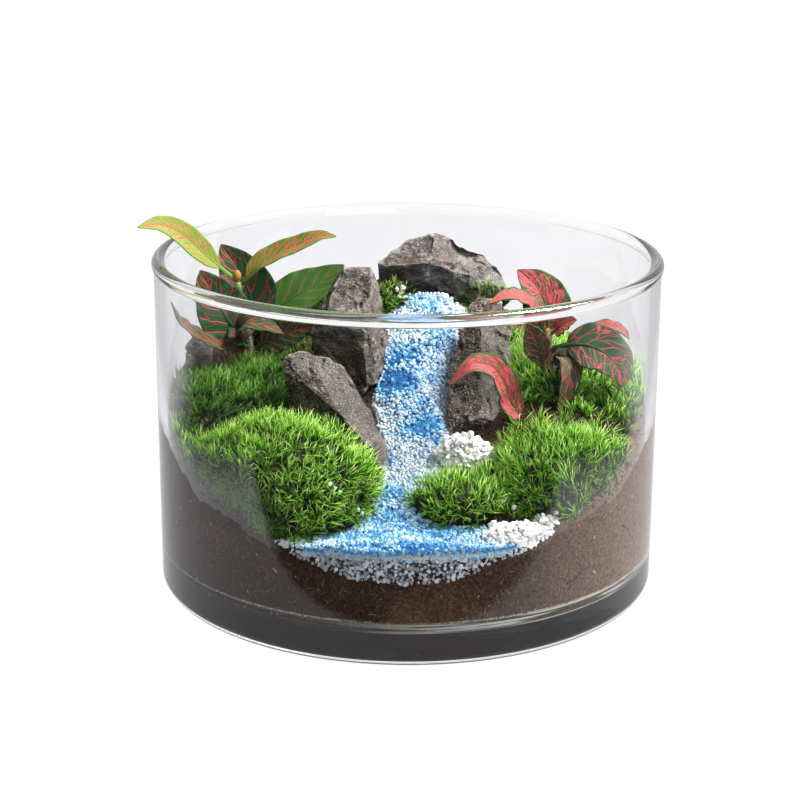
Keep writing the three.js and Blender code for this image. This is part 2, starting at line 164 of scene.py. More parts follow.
@dataclass(frozen=True)
class MoistSoil(Finish):
    """Sieved potting soil: dark brown crumbs under a millimetre, coir fibres and pale specks."""

    name: str = "sieved_potting_soil"
    dark: str = "#140c09"
    mid: str = "#37261c"
    light: str = "#6a5040"
    # Pale dusty brown of dry crumbs, which also carries the painted light at the right
    dry_and_lit: str = "#8d7868"
    # Pale grey of the painted reflections round the foot of the wall
    painted_reflection: str = "#c9cbc2"
    fibre: str = "#8f6f4a"
    fleck: str = "#b9aea2"
    low_edge: float = 13.05 * MM

    def shader(self, tree: Tree) -> Node:
        """Builds crumbs, fibres and flecks over Object coordinates, with painted light at the right and
        painted reflections round the foot of the wall.

        Args:
            tree: The material's nodes.

        Returns:
            The shader.
        """
        place = add(tree, "TexCoord").outputs["Object"]
        x, _, z = add(tree, "SeparateXYZ", place).outputs
        crumbs = add(tree, "TexNoise", place, Scale=1 / (0.85 * MM), Detail=5.0, Roughness=0.85)
        patches = add(tree, "TexNoise", place, Scale=1 / (22 * MM), Detail=2.0)
        shade = add(tree, "MapRange", patches, 0.3, 0.7, -0.1, 0.1)
        level = add(tree, "Math", crumbs, shade, operation="ADD")
        ground = add(tree, "ValToRGB", level, stops=[(0.3, self.dark), (0.52, self.mid), (0.74, self.light)])
        # Broken crumbs turn paler along the wall towards the right: dry crumbs, with painted light where the
        # light falls from the right
        lit_right = add(tree, "MapRange", x, 0.02, 0.065, 0.0, 0.5)
        flat = add(tree, "VectorMath", place, (1.0, 1.0, 0.0), operation="MULTIPLY")
        reach = add(tree, "VectorMath", flat, operation="LENGTH")
        at_wall = add(tree, "MapRange", reach, 68.0 * MM, 70.5 * MM, 0.15, 1.0)
        broken = add(tree, "MapRange", crumbs, 0.38, 0.62, 0.1, 1.6)
        crumbs_lit_right = add(tree, "Math", lit_right, broken, operation="MULTIPLY")
        wall_crumbs_lit_right = add(tree, "Math", crumbs_lit_right, at_wall, operation="MULTIPLY")
        drier_and_lit = add(tree, "Mix", wall_crumbs_lit_right, A=ground, B=linear(self.dry_and_lit), data_type="RGBA")
        # Fibres are thin streaks of a stretched pattern, bent by another one
        bent = add(tree, "TexNoise", place, Scale=1 / (9 * MM), Detail=1.0).outputs["Color"]
        warp = add(tree, "VectorMath", bent, (0.014, 0.014, 0.014), place, operation="MULTIPLY_ADD")
        strands = add(tree, "TexNoise", warp, Scale=1 / (2.6 * MM), Detail=0.0)
        ridge = add(tree, "Math", strands, 0.5, operation="SUBTRACT")
        off = add(tree, "Math", ridge, operation="ABSOLUTE")
        line = add(tree, "MapRange", off, 0.004, 0.012, 0.3, 0.0)
        fibrous = add(tree, "Mix", line, A=drier_and_lit, B=linear(self.fibre), data_type="RGBA")
        flecks = add(tree, "TexVoronoi", warp, Scale=1 / (2.4 * MM))
        rare = add(tree, "SeparateColor", flecks.outputs["Color"])
        size = add(tree, "MapRange", rare, 0.6, 1.0, 0.0, 0.22)
        inside = add(tree, "Math", size, flecks, operation="SUBTRACT")
        spot = add(tree, "MapRange", inside, 0.0, 0.06, 0.0, 0.6)
        speckled = add(tree, "Mix", spot, A=fibrous, B=linear(self.fleck), data_type="RGBA")
        # Painted reflections: pale streaks round the foot of the wall, most of them at the right, stand in
        # for the light that the glass foot mirrors there
        long = add(tree, "Mapping", place, Scale=(30.0, 30.0, 1 / (0.8 * MM)))
        painted_reflection = add(tree, "TexNoise", long, Scale=1.0, Detail=3.0)
        streaks = add(tree, "MapRange", painted_reflection, 0.45, 0.55)
        below = add(tree, "MapRange", z, 12.6 * MM, 13.1 * MM, 1.0, 0.0)
        right = add(tree, "MapRange", x, -0.02, 0.03, 0.05, 1.0)
        there = add(tree, "Math", below, right, operation="MULTIPLY")
        dust_and_reflection = add(tree, "Math", there, streaks, operation="MULTIPLY")
        # Painted reflection: a thin granular pale line along the soil's lower edge, off the middle, stands
        # in for the light that the glass's inner corner mirrors
        above = add(tree, "Math", z, self.low_edge, operation="SUBTRACT")
        near = add(tree, "Math", above, operation="ABSOLUTE")
        thin = add(tree, "MapRange", near, 0.1 * MM, 0.45 * MM, 1.0, 0.0)
        loose = add(tree, "MapRange", crumbs, 0.4, 0.6)
        sides = add(tree, "Math", x, operation="ABSOLUTE")
        off_middle = add(tree, "MapRange", sides, 0.0, 0.03, 0.1, 0.9)
        lined = add(tree, "Math", thin, loose, operation="MULTIPLY")
        painted_lit_edge = add(tree, "Math", lined, off_middle, operation="MULTIPLY")
        # The painted reflections, streaks and line together, are laid over the soil
        pale = add(tree, "Math", dust_and_reflection, painted_lit_edge, operation="MAXIMUM")
        reflections_painted = add(tree, "Mix", pale, A=speckled, B=linear(self.painted_reflection), data_type="RGBA")
        relief = add(tree, "Bump", Height=crumbs, Strength=0.3, Distance=0.5 * MM)
        return add(tree, "BsdfPrincipled", reflections_painted, Roughness=0.85, Normal=relief, Specular_IOR_Level=0.12)


@dataclass(frozen=True)
class Grit(Finish):
    """Loose mineral grains: each one has a tone of its own, with a little bloom of light inside."""

    tones: tuple[tuple[float, str], ...]
    roughness: float
    glow: float = 0.0
    depth: float = 0.6 * MM

    def shader(self, tree: Tree) -> Node:
        """Builds the shader from the grains' "tone" attribute.

        Args:
            tree: The material's nodes.

        Returns:
            The shader.
        """
        tone = add(tree, "Attribute", attribute_name="tone").outputs["Fac"]
        place = add(tree, "TexCoord").outputs["Object"]
        dust_and_reflection = add(tree, "TexNoise", place, Scale=1 / (0.7 * MM), Detail=3.0)
        spread = add(tree, "MapRange", dust_and_reflection, 0.25, 0.75, -0.07, 0.07)
        level = add(tree, "Math", tone, spread, operation="ADD")
        colour = add(tree, "ValToRGB", level, stops=self.tones)
        relief = add(tree, "Bump", Height=dust_and_reflection, Strength=0.35, Distance=0.3 * MM)
        return add(tree, "BsdfPrincipled", colour, Roughness=self.roughness, Normal=relief,
                   Subsurface_Weight=self.glow, Subsurface_Radius=(1.0, 1.0, 1.0),
                   Subsurface_Scale=self.depth, Specular_IOR_Level=0.3)


@dataclass(frozen=True)
class BrokenLimestone(Finish):
    """Split grey limestone: matt broken faces, fine pale flecks and streaks, worn edges under a painted
    highlight, and painted light and shade by the way each face looks.
    """

    dark: str
    mid: str
    light: str
    fleck: str = "#c9c1b9"
    stain: str = "#57432f"
    fleck_share: float = 0.7

    def shader(self, tree: Tree) -> Node:
        """Builds clouds, streaks, pits and flecks over Object coordinates, with a painted highlight on the
        edges and painted light and shade by each face's heading.

        Args:
            tree: The material's nodes.

        Returns:
            The shader.
        """
        place = add(tree, "TexCoord").outputs["Object"]
        layers = add(tree, "Mapping", place, Rotation=(0.4, 0.3, 0.9), Scale=(1.0, 1.0, 2.6))
        clouds = add(tree, "TexNoise", layers, Scale=1 / (9 * MM), Detail=8.0, Roughness=0.68)
        grain = add(tree, "TexNoise", layers, Scale=1 / (1.3 * MM), Detail=4.0, Roughness=0.7)
        level = add(tree, "Mix", 0.42, A=clouds, B=grain, data_type="FLOAT")
        stone = add(tree, "ValToRGB", level, stops=[(0.4, self.dark), (0.5, self.mid), (0.61, self.light)])
        stains = add(tree, "TexNoise", place, Scale=1 / (7 * MM), Detail=3.0)
        rusty = add(tree, "MapRange", stains, 0.52, 0.66, 0.0, 0.4)
        stained = add(tree, "Mix", rusty, A=stone, B=linear(self.stain), data_type="RGBA")
        dots = add(tree, "TexNoise", layers, Scale=1 / (0.7 * MM), Detail=2.0, Roughness=0.8)
        edge = 0.68 - 0.12 * self.fleck_share
        spot = add(tree, "MapRange", dots, edge, edge + 0.08, 0.0, 0.6)
        flecked = add(tree, "Mix", spot, A=stained, B=linear(self.fleck), data_type="RGBA")
        # Painted highlight: worn edges are paler than the faces. Painted light: the faces that look to the
        # upper right, towards the light, are paler too
        shape = add(tree, "NewGeometry").outputs
        toward_light = add(tree, "VectorMath", shape["Normal"], (0.78, -0.3, 0.55), operation="DOT_PRODUCT")
        lit_side = add(tree, "MapRange", toward_light, 0.6, 0.9, 0.0, 0.1)
        worn_highlit_edge = add(tree, "MapRange", shape["Pointiness"], 0.52, 0.6, 0.0, 0.7)
        pale = add(tree, "Math", worn_highlit_edge, lit_side, operation="MAXIMUM")
        painted_lit_edge = add(tree, "Mix", pale, A=flecked, B=linear(self.fleck), data_type="RGBA")
        # Painted shade: the faces that look to the left and down, away from the light, are darker
        damp = add(tree, "MapRange", toward_light, -0.1, 0.45, 0.3, 0.0)
        painted_dark_side = add(tree, "Mix", damp, A=painted_lit_edge, B=linear(self.dark), data_type="RGBA")
        relief = add(tree, "Bump", Height=level, Strength=0.8, Distance=0.8 * MM)
        return add(tree, "BsdfPrincipled", painted_dark_side, Roughness=0.78, Normal=relief, Specular_IOR_Level=0.08)


@dataclass(frozen=True)
class LivingMoss(Finish):
    """Cushion moss: silky pointed leaves, with painted shade where they leave the stem and a painted
    highlight at their tips.
    """

    base: str
    middle: str
    tip: str
    pale: str

    def shader(self, tree: Tree) -> Node:
        """Builds the shader from the leaves' "rise" and "tone" attributes.

        Args:
            tree: The material's nodes.

        Returns:
            The shader.
        """
        rise = add(tree, "Attribute", attribute_name="rise").outputs["Fac"]
        tone = add(tree, "Attribute", attribute_name="tone").outputs["Fac"]
        spread = add(tree, "MapRange", tone, 0.0, 1.0, -0.22, 0.22)
        level = add(tree, "Math", rise, spread, operation="ADD")
        # Painted shade at the leaves' feet and a painted highlight at their tips, laid on along each leaf's
        # rise
        stops = [(0.0, self.base), (0.36, self.middle), (0.78, self.tip), (1.0, self.pale)]
        blade = add(tree, "ValToRGB", level, stops=stops)
        return add(tree, "BsdfPrincipled", blade, Roughness=0.42, Specular_IOR_Level=0.15,
                   Subsurface_Weight=0.15, Subsurface_Radius=(0.5, 1.0, 0.2), Subsurface_Scale=0.7 * MM)


@dataclass(frozen=True)
class NetVeinedLeaf(Finish):
    """Leaf of a nerve plant: soft green skin, puckered between a net of coloured veins."""

    slot: str
    skin: str
    skin_light: str
    vein: str
    vein_soft: str
    side_veins: float
    vein_width: float
    net_width: float
    net_strength: float
    slope: float
    midrib: float
    cells: Flat = (2.6, 2.6)
    margin: float = 0.1
    roughness: float = 0.5

    def shader(self, tree: Tree) -> Node:
        """Builds midrib, side veins and net over the leaf's own UV map.

        Across runs from 0 at the midrib to 1 at the margin. Each side vein leaves the midrib and
        runs forward to the margin, and cells between two of them make the net.

        Args:
            tree: The material's nodes.

        Returns:
            The shader.
        """
        uv = add(tree, "UVMap", uv_map="leaf")
        u, v, _ = add(tree, "SeparateXYZ", uv).outputs
        wobble = add(tree, "TexNoise", uv, Scale=5.0, Detail=2.0)
        double = add(tree, "Math", u, 2.0, -1.0, operation="MULTIPLY_ADD")
        across = add(tree, "Math", double, operation="ABSOLUTE")
        side = add(tree, "Math", double, operation="SIGN")
        lean = add(tree, "Math", across, -self.slope, v, operation="MULTIPLY_ADD")
        stray = add(tree, "Math", wobble, 0.09, lean, operation="MULTIPLY_ADD")
        stagger = add(tree, "Math", side, 0.25, operation="MULTIPLY")
        count = add(tree, "Math", stray, self.side_veins, stagger, operation="MULTIPLY_ADD")
        turn = add(tree, "Math", count, 1.0, operation="FLOORED_MODULO")
        half = add(tree, "Math", turn, 0.5, operation="SUBTRACT")
        off_vein = add(tree, "Math", half, operation="ABSOLUTE")
        fade = add(tree, "MapRange", across, 0.0, 1.0, 1.0, 0.55)
        width = add(tree, "Math", fade, self.vein_width, operation="MULTIPLY")
        thin = add(tree, "Math", off_vein, width, operation="DIVIDE")
        side_vein = add(tree, "MapRange", thin, 0.6, 1.15, 1.0, 0.0)
        rib = add(tree, "MapRange", across, 0.6 * self.midrib, 1.3 * self.midrib, 1.0, 0.0)
        cells = add(tree, "CombineXYZ", count, across, side)
        stretched = add(tree, "Mapping", cells, Scale=(*self.cells, 5.0))
        net = add(tree, "TexVoronoi", stretched, Scale=1.0, Randomness=0.8, feature="DISTANCE_TO_EDGE")
        mesh = add(tree, "MapRange", net, self.net_width * 0.6, self.net_width * 1.5, self.net_strength, 0.0)
        main = add(tree, "Math", side_vein, rib, operation="MAXIMUM")
        veins = add(tree, "Math", main, mesh, operation="MAXIMUM")
        border = add(tree, "MapRange", across, 1.0 - self.margin, 1.0 - 0.4 * self.margin, 1.0, 0.0)
        inked = add(tree, "Math", veins, border, operation="MULTIPLY")
        cloud = add(tree, "TexNoise", uv, Scale=3.0, Detail=3.0)
        skin = add(tree, "Mix", cloud, A=linear(self.skin), B=linear(self.skin_light), data_type="RGBA")
        ink = add(tree, "Mix", main, A=linear(self.vein_soft), B=linear(self.vein), data_type="RGBA")
        colour = add(tree, "Mix", inked, A=skin, B=ink, data_type="RGBA")
        relief = add(tree, "Bump", Height=veins, Strength=0.45, Distance=0.25 * MM, invert=True)
        return add(tree, "BsdfPrincipled", colour, Roughness=self.roughness, Normal=relief,
                   Specular_IOR_Level=0.14, Subsurface_Weight=0.1, Subsurface_Radius=(1.0, 0.8, 0.3),
                   Subsurface_Scale=0.5 * MM)


@dataclass(frozen=True)
class DownyStem(Finish):
    """Soft stem of a nerve plant: juicy skin that turns from one colour to another up the stem."""

    low: str
    high: str
    turn_from: float
    turn_to: float

    def shader(self, tree: Tree) -> Node:
        """Builds the change of colour up the stem over Object coordinates.

        Args:
            tree: The material's nodes.

        Returns:
            The shader.
        """
        place = add(tree, "TexCoord").outputs["Object"]
        height = add(tree, "SeparateXYZ", place).outputs["Z"]
        share = add(tree, "MapRange", height, self.turn_from * MM, self.turn_to * MM)
        streaks = add(tree, "TexNoise", place, Scale=1 / (1.5 * MM), Detail=3.0)
        jitter = add(tree, "Math", streaks, 0.5, share, operation="MULTIPLY_ADD")
        colour = add(tree, "ValToRGB", jitter, stops=[(0.3, self.low), (1.0, self.high)])
        relief = add(tree, "Bump", Height=streaks, Strength=0.3, Distance=0.2 * MM)
        return add(tree, "BsdfPrincipled", colour, Roughness=0.5, Normal=relief, Subsurface_Weight=0.15,
                   Subsurface_Radius=(1.0, 0.6, 0.3), Subsurface_Scale=0.8 * MM)


@dataclass(frozen=True)
class PlainSkin(Finish):
    """One even colour with a soft cloud in it: the natural colour of hairs, fibres and buds, and the painted
    shade of the moss's core.
    """

    colour: str
    second: str
    roughness: float

    def shader(self, tree: Tree) -> Node:
        """Builds the clouded colour over Object coordinates.

        Args:
            tree: The material's nodes.

        Returns:
            The shader.
        """
        place = add(tree, "TexCoord").outputs["Object"]
        cloud = add(tree, "TexNoise", place, Scale=1 / (4 * MM), Detail=2.0)
        colour = add(tree, "Mix", cloud, A=linear(self.colour), B=linear(self.second), data_type="RGBA")
        return add(tree, "BsdfPrincipled", colour, Roughness=self.roughness)


@dataclass(frozen=True)
class StudioPaper(Finish):
    """Matt white paper that glows: the glass mirrors it with a painted pool of light beside and behind the
    bowl, and painted shade in front.
    """

    name: str = "white_studio_paper"

    def shader(self, tree: Tree) -> Node:
        """Builds the paper as it is seen, as it lights the bowl and as the glass shows it.

        Args:
            tree: The material's nodes.

        Returns:
            The shader.
        """
        place = add(tree, "TexCoord").outputs["Object"]
        x, y, _ = add(tree, "SeparateXYZ", place).outputs
        # Painted light for what the glass mirrors: bright close beside the bowl, far off, wide and behind,
        # and painted shade in front
        side = add(tree, "Math", x, operation="ABSOLUTE")
        near = add(tree, "MapRange", y, -0.107, -0.101)
        beside = add(tree, "MapRange", side, 0.175, 0.225, 1.0, 0.02)
        close = add(tree, "Math", near, beside, operation="MULTIPLY")
        far = add(tree, "MapRange", y, -0.42, -0.46)
        wide = add(tree, "MapRange", side, 0.4, 0.45)
        behind = add(tree, "MapRange", y, 0.04, 0.1, 0.0, 0.8)
        outside = add(tree, "Math", far, wide, operation="MAXIMUM")
        distant = add(tree, "Math", outside, behind, operation="MAXIMUM")
        lit_part = add(tree, "Math", close, distant, operation="MAXIMUM")
        shine = add(tree, "MapRange", lit_part, 0.0, 1.0, 0.02, 0.9)
        grain = add(tree, "TexNoise", place, Scale=1 / (4 * MM), Detail=2.0)
        tint = add(tree, "Mix", grain, A=linear("#f6f4f8"), B=linear("#f8f6f9"), data_type="RGBA")
        sheet = add(tree, "BsdfDiffuse", linear("#a3a2a5"))
        lit = add(tree, "Emission", linear("#ffffff"), 1.05)
        through = add(tree, "Emission", tint, 1.08)
        mirrored = add(tree, "Emission", tint, shine)
        path = add(tree, "LightPath").outputs
        seen = add(tree, "MixShader", path["Is Camera Ray"], sheet, lit)
        glossy = add(tree, "MixShader", path["Is Glossy Ray"], seen, mirrored)
        # Light that the wall's inner face has mirrored leaves the glass again, and shows the same paper
        inner = add(tree, "MixShader", path["Glossy Depth"], through, mirrored)
        return add(tree, "MixShader", path["Is Transmission Ray"], glossy, inner)


def merged_copy(node: str) -> BMesh:
    """Copies a node's mesh with its corners merged.

    Args:
        node: The node's name.

    Returns:
        The copy, which the caller frees.
    """
    bm = bmesh.new()
    bm.from_mesh(frame["nodes"][node].data)
    bmesh.ops.remove_doubles(bm, verts=bm.verts, dist=0.002 * MM)
    return bm


def fractal(place: Vector, size: float, octaves: int = 3, seed: float = 0.0) -> float:
    """Gives a soft random height for a place.

    Args:
        place: The place, in metres.
        size: Width of the largest bumps, in metres.
        octaves: How many finer layers are added.
        seed: Moves the pattern.

    Returns:
        A height from about -1 to 1.
    """
    return noise.fractal(place / size + Vector((seed, 2 * seed, -seed)), 1.0, 2.0, octaves)


def triangles(bm: BMesh) -> tuple[np.ndarray, np.ndarray]:
    """Cuts a shape into triangles and reads it.

    Args:
        bm: The shape.

    Returns:
        Its corners, and each triangle's three corner numbers.
    """
    bmesh.ops.triangulate(bm, faces=bm.faces)
    bm.verts.index_update()
    points = np.array([v.co[:] for v in bm.verts])
    return points, np.array([[v.index for v in f.verts] for f in bm.faces])


@dataclass
class Stamp:
    """A small closed shape, made once, that is joined into a piece in many copies."""

    points: np.ndarray
    faces: np.ndarray
    rise: np.ndarray

    @classmethod
    def of(cls, bm: BMesh) -> "Stamp":
        """Reads a finished small shape and frees it.

        Args:
            bm: The shape.

        Returns:
            Its stamp, with each corner's share of the height.
        """
        points, faces = triangles(bm)
        bm.free()
        low, high = points[:, 2].min(), points[:, 2].max()
        return cls(points, faces, (points[:, 2] - low) / max(high - low, 1e-9))


def needle(width: float, thickness: float, bend: float) -> Stamp:
    """Makes a pointed three-sided leaf or hair of height 1 that curves towards +X.

    Args:
        width: Its width as a share of its height.
        thickness: Its thickness as a share of its height.
        bend: How far its tip leans over.

    Returns:
        The stamp.
    """
    bm = bmesh.new()
    bmesh.ops.create_cone(bm, cap_ends=True, segments=3, radius1=0.5, radius2=0.0, depth=1.0)
    bmesh.ops.translate(bm, verts=bm.verts, vec=(0, 0, 0.5))
    long_edges = [e for e in bm.edges if abs(e.verts[0].co.z - e.verts[1].co.z) > 0.5]
    bmesh.ops.subdivide_edges(bm, edges=long_edges, cuts=1)
    for v in bm.verts:
        belly = 1.5 if 0.3 < v.co.z < 0.7 else 1.0
        v.co.x = v.co.x * thickness * belly + bend * v.co.z**2
        v.co.y *= width * belly
    return Stamp.of(bm)


class GrainForm(Enum):
    """Which solid a grain is broken from, with its faces round and up."""

    FINE = (4, 2)
    COARSE = (0, 0)
    LUMPY = (6, 4)


def crystal(rng: Rng, form: GrainForm, rough: float) -> Stamp:
    """Makes a broken grain about 1 across.

    Args:
        rng: The random draw.
        form: The solid that it is broken from.
        rough: How far its corners stray.

    Returns:
        The stamp.
    """
    bm = bmesh.new()
    around, up = form.value
    if form is GrainForm.COARSE:
        bmesh.ops.create_icosphere(bm, subdivisions=1, radius=0.5)
    else:
        bmesh.ops.create_uvsphere(bm, u_segments=around, v_segments=up, radius=0.5)
    for v in bm.verts:
        v.co *= 1 + rough * (rng.random() - 0.5)
        v.co += Vector(rng.normal(0, 0.06 * rough, 3))
    bmesh.ops.scale(bm, verts=bm.verts, vec=(1.0, 0.85, 0.75))
    return Stamp.of(bm)


@dataclass
class Scatter:
    """Places, headings and sizes of many stamps, and the way that each one's +X looks."""

    places: np.ndarray
    ups: np.ndarray
    sizes: np.ndarray
    tones: np.ndarray
    sides: np.ndarray


@dataclass
class MeshPile:
    """Gathers shapes with their finishes and joins them into one mesh, within a radius."""

    within: float = math.inf
    parts: list[tuple[np.ndarray, ...]] = field(default_factory=list)
    count: int = 0

    def put(
        self, points: np.ndarray, faces: np.ndarray, slot: int | np.ndarray, rise: np.ndarray,
        tone: np.ndarray, soft: bool,
    ) -> None:
        """Adds triangles with their attributes.

        Args:
            points: Corners, in metres.
            faces: Three corner numbers a row.
            slot: The material's number in the piece, for all or for each face.
            rise: Each corner's share of its shape's height.
            tone: Each corner's tone from 0 to 1.
            soft: Whether the faces are shaded smooth.
        """
        n = len(faces)
        self.parts.append((points, faces + self.count, np.full(n, slot), rise, tone, np.full(n, soft)))
        self.count += len(points)

    def put_body(
        self, bm: BMesh, slot: int, tone: float = 0.5, soft: bool = True,
        wall: tuple[float, int] = (math.inf, 0),
    ) -> None:
        """Adds a whole shape and frees it.

        Args:
            bm: The shape.
            slot: The material's number in the piece.
            tone: Its tone.
            soft: Whether it is shaded smooth.
            wall: A radius, and the material's number of the steep faces beyond it, with a tone of 0.
        """
        points, faces = triangles(bm)
        steep = np.array([f.normal.z < 0.3 for f in bm.faces])
        bm.free()
        outer = steep & (np.hypot(points[faces, 0], points[faces, 1]).min(axis=1) > wall[0])
        tones = np.full(len(points), tone)
        tones[faces[outer].ravel()] = 0.0
        self.put(points, faces, np.where(outer, wall[1], slot), np.full(len(points), 0.5), tones, soft)

    def put_stamps(self, stamps: Sequence[Stamp], scatter: Scatter, slot: int, soft: bool = False) -> None:
        """Adds the copies of some stamps, and moves corners that would cross the radius back to it.

        Args:
            stamps: The shapes, which share the places by turns.
            scatter: Where each copy goes.
            slot: The material's number in the piece.
            soft: Whether they are shaded smooth.
        """
        ups = scatter.ups / np.linalg.norm(scatter.ups, axis=1, keepdims=True)
        x_axis = scatter.sides - ups * (scatter.sides * ups).sum(axis=1, keepdims=True)
        x_axis /= np.maximum(np.linalg.norm(x_axis, axis=1, keepdims=True), 1e-9)
        y_axis = np.cross(ups, x_axis)
        for k, stamp in enumerate(stamps):
            own = np.arange(len(ups)) % len(stamps) == k
            n = int(own.sum())
            if not n:
                continue
            local = stamp.points[None] * scatter.sizes[own, None, None]
            moved = (
                local[..., 0:1] * x_axis[own, None]
                + local[..., 1:2] * y_axis[own, None]
                + local[..., 2:3] * ups[own, None]
                + scatter.places[own, None]
            )
            corners = moved.reshape(-1, 3)
            far = np.linalg.norm(corners[:, :2], axis=1)
            corners[:, :2] *= np.where(far > self.within, self.within / np.maximum(far, 1e-9), 1.0)[:, None]
            starts = np.arange(n)[:, None, None] * len(stamp.points)
            faces = (stamp.faces[None] + starts).reshape(-1, 3)
            tone = np.repeat(scatter.tones[own], len(stamp.points))
            self.put(corners, faces, slot, np.tile(stamp.rise, n), tone, soft)

    def show(self, node: str, ending: str, finishes: Sequence[Finish], slot: str) -> None:
        """Joins all into one piece of the part.

        Args:
            node: The node that it stands for.
            ending: What its name has after the node's.
            finishes: Its finishes, in the order of their numbers.
            slot: The record's material slot.
        """
        points, faces, slots, rises, tones, soft = (np.concatenate(column) for column in zip(*self.parts))
        mesh = bpy.data.meshes.new(node)
        mesh.vertices.add(len(points))
        mesh.vertices.foreach_set("co", points.ravel())
        mesh.loops.add(faces.size)
        mesh.loops.foreach_set("vertex_index", faces.ravel())
        mesh.polygons.add(len(faces))
        mesh.polygons.foreach_set("loop_start", np.arange(len(faces)) * 3)
        mesh.update(calc_edges=True)
        mesh.polygons.foreach_set("material_index", slots)
        mesh.polygons.foreach_set("use_smooth", soft)
        for key, values in (("rise", rises), ("tone", tones)):
            mesh.attributes.new(key, "FLOAT", "POINT").data.foreach_set("value", values)
        show(mesh, node, ending, [finish.material() for finish in finishes], slot)


def show(
    mesh: bpy.types.Mesh, node: str, ending: str, materials: Sequence[bpy.types.Material], slot: str
) -> None:
    """Puts a mesh in the scene as a piece of the part.

    Args:
        mesh: The finished mesh.
        node: The node that it stands for.
        ending: What its name has after the node's.
        materials: Its materials.
        slot: The record's material slot; not used.
    """
    mesh.name = f"{node}_{ending}"
    for material in materials:
        mesh.materials.append(material)
    piece = bpy.data.objects.new(mesh.name, mesh)
    bpy.context.scene.collection.objects.link(piece)
    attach(piece, BODY)
    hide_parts(node)
    log.info("%s: %d triangles", piece.name, sum(len(p.vertices) - 2 for p in mesh.polygons))


def as_mesh(bm: BMesh, name: str, soft: bool) -> bpy.types.Mesh:
    """Turns a shape into a mesh and frees it.

    Args:
        bm: The finished shape.
        name: The mesh's name.
        soft: Whether it is shaded smooth.

    Returns:
        The mesh.
    """
    for face in bm.faces:
        face.smooth = soft
    mesh = bpy.data.meshes.new(name)
    bm.to_mesh(mesh)
    bm.free()
    return mesh


def surface_samples(
    bm: BMesh, count: int, rng: Rng, keep: Callable[[Vector, Vector], bool]
) -> tuple[np.ndarray, np.ndarray]:
    """Draws points evenly over the faces of a shape.

    Args:
        bm: The shape.
        count: How many points are drawn.
        rng: The random draw.
        keep: Says from a face's middle and normal whether it takes points.

    Returns:
        The points and their smooth normals.
    """
    bm.normal_update()
    faces = [f for f in bm.faces if keep(f.calc_center_median(), f.normal)]
    corners = np.array([[v.co[:] for v in f.verts] for f in faces])
    normals = np.array([[v.normal[:] for v in f.verts] for f in faces])
    areas = np.array([f.calc_area() for f in faces])
    picked = rng.choice(len(faces), count, p=areas / areas.sum())
    a, b = rng.random(count), rng.random(count)
    flip = a + b > 1
    a[flip], b[flip] = 1 - a[flip], 1 - b[flip]
    weights = np.stack([1 - a - b, a, b], axis=1)[:, :, None]
    return (corners[picked] * weights).sum(axis=1), (normals[picked] * weights).sum(axis=1)


def thinned(points: np.ndarray, gap: float) -> np.ndarray:
    """Drops points that lie too close to an earlier one.

    Args:
        points: The candidates.
        gap: The least distance, in metres.

    Returns:
        The numbers of the points that stay.
    """
    cells: dict[tuple[int, ...], list[int]] = {}
    kept = []
    steps = [(i, j, k) for i in (-1, 0, 1) for j in (-1, 0, 1) for k in (-1, 0, 1)]
    for n, (point, key) in enumerate(zip(points, np.floor(points / gap).astype(int))):
        near = (m for s in steps for m in cells.get((key[0] + s[0], key[1] + s[1], key[2] + s[2]), ()))
        if all(((points[m] - point) ** 2).sum() >= gap * gap for m in near):
            cells.setdefault(tuple(key), []).append(n)
            kept.append(n)
    return np.array(kept)


def supported(start: Flat, end: Flat, near: float = 0.5) -> list[Flat]:
    """Lists points along a straight stretch of a profile, close to its ends, that keep it flat.

    Args:
        start: Radius and height at its start.
        end: Radius and height at its end.
        near: How far the first and the last point are from the ends.

    Returns:
        The points between the ends.
    """
    share = near / math.dist(start, end)
    shares = sorted([share, 2 * share, *(i / 12 for i in range(1, 12)), 1 - 2 * share, 1 - share])
    return [(start[0] + (end[0] - start[0]) * s, start[1] + (end[1] - start[1]) * s) for s in shares]


def wrapped(
    path: Callable[[float], Vector], radius: Callable[[float], float], sides: int, rows: int
) -> BMesh:
    """Wraps a grid round a path and closes its ends.

    Args:
        path: Gives the place at a share of the way, in millimetres.
        radius: Gives the radius there, in millimetres.
        sides: Corners round the path.
        rows: Steps along the path.

    Returns:
        The closed tube, in metres.
    """
    bm = bmesh.new()
    bmesh.ops.create_grid(bm, x_segments=sides, y_segments=rows, size=0.5)
    for v in bm.verts:
        turn, t = 2 * math.pi * (v.co.x + 0.5), v.co.y + 0.5
        ahead = (path(min(1.0, t + 0.005)) - path(max(0.0, t - 0.005))).normalized()
        across = ahead.cross(Vector((0, 1, 0.01))).normalized()
        other = ahead.cross(across)
        v.co = (path(t) + (across * math.cos(turn) + other * math.sin(turn)) * radius(t)) * MM
    bmesh.ops.remove_doubles(bm, verts=bm.verts, dist=0.001 * MM)
    bmesh.ops.holes_fill(bm, edges=bm.edges, sides=sides + 1)
    bmesh.ops.recalc_face_normals(bm, faces=bm.faces)
    return bm


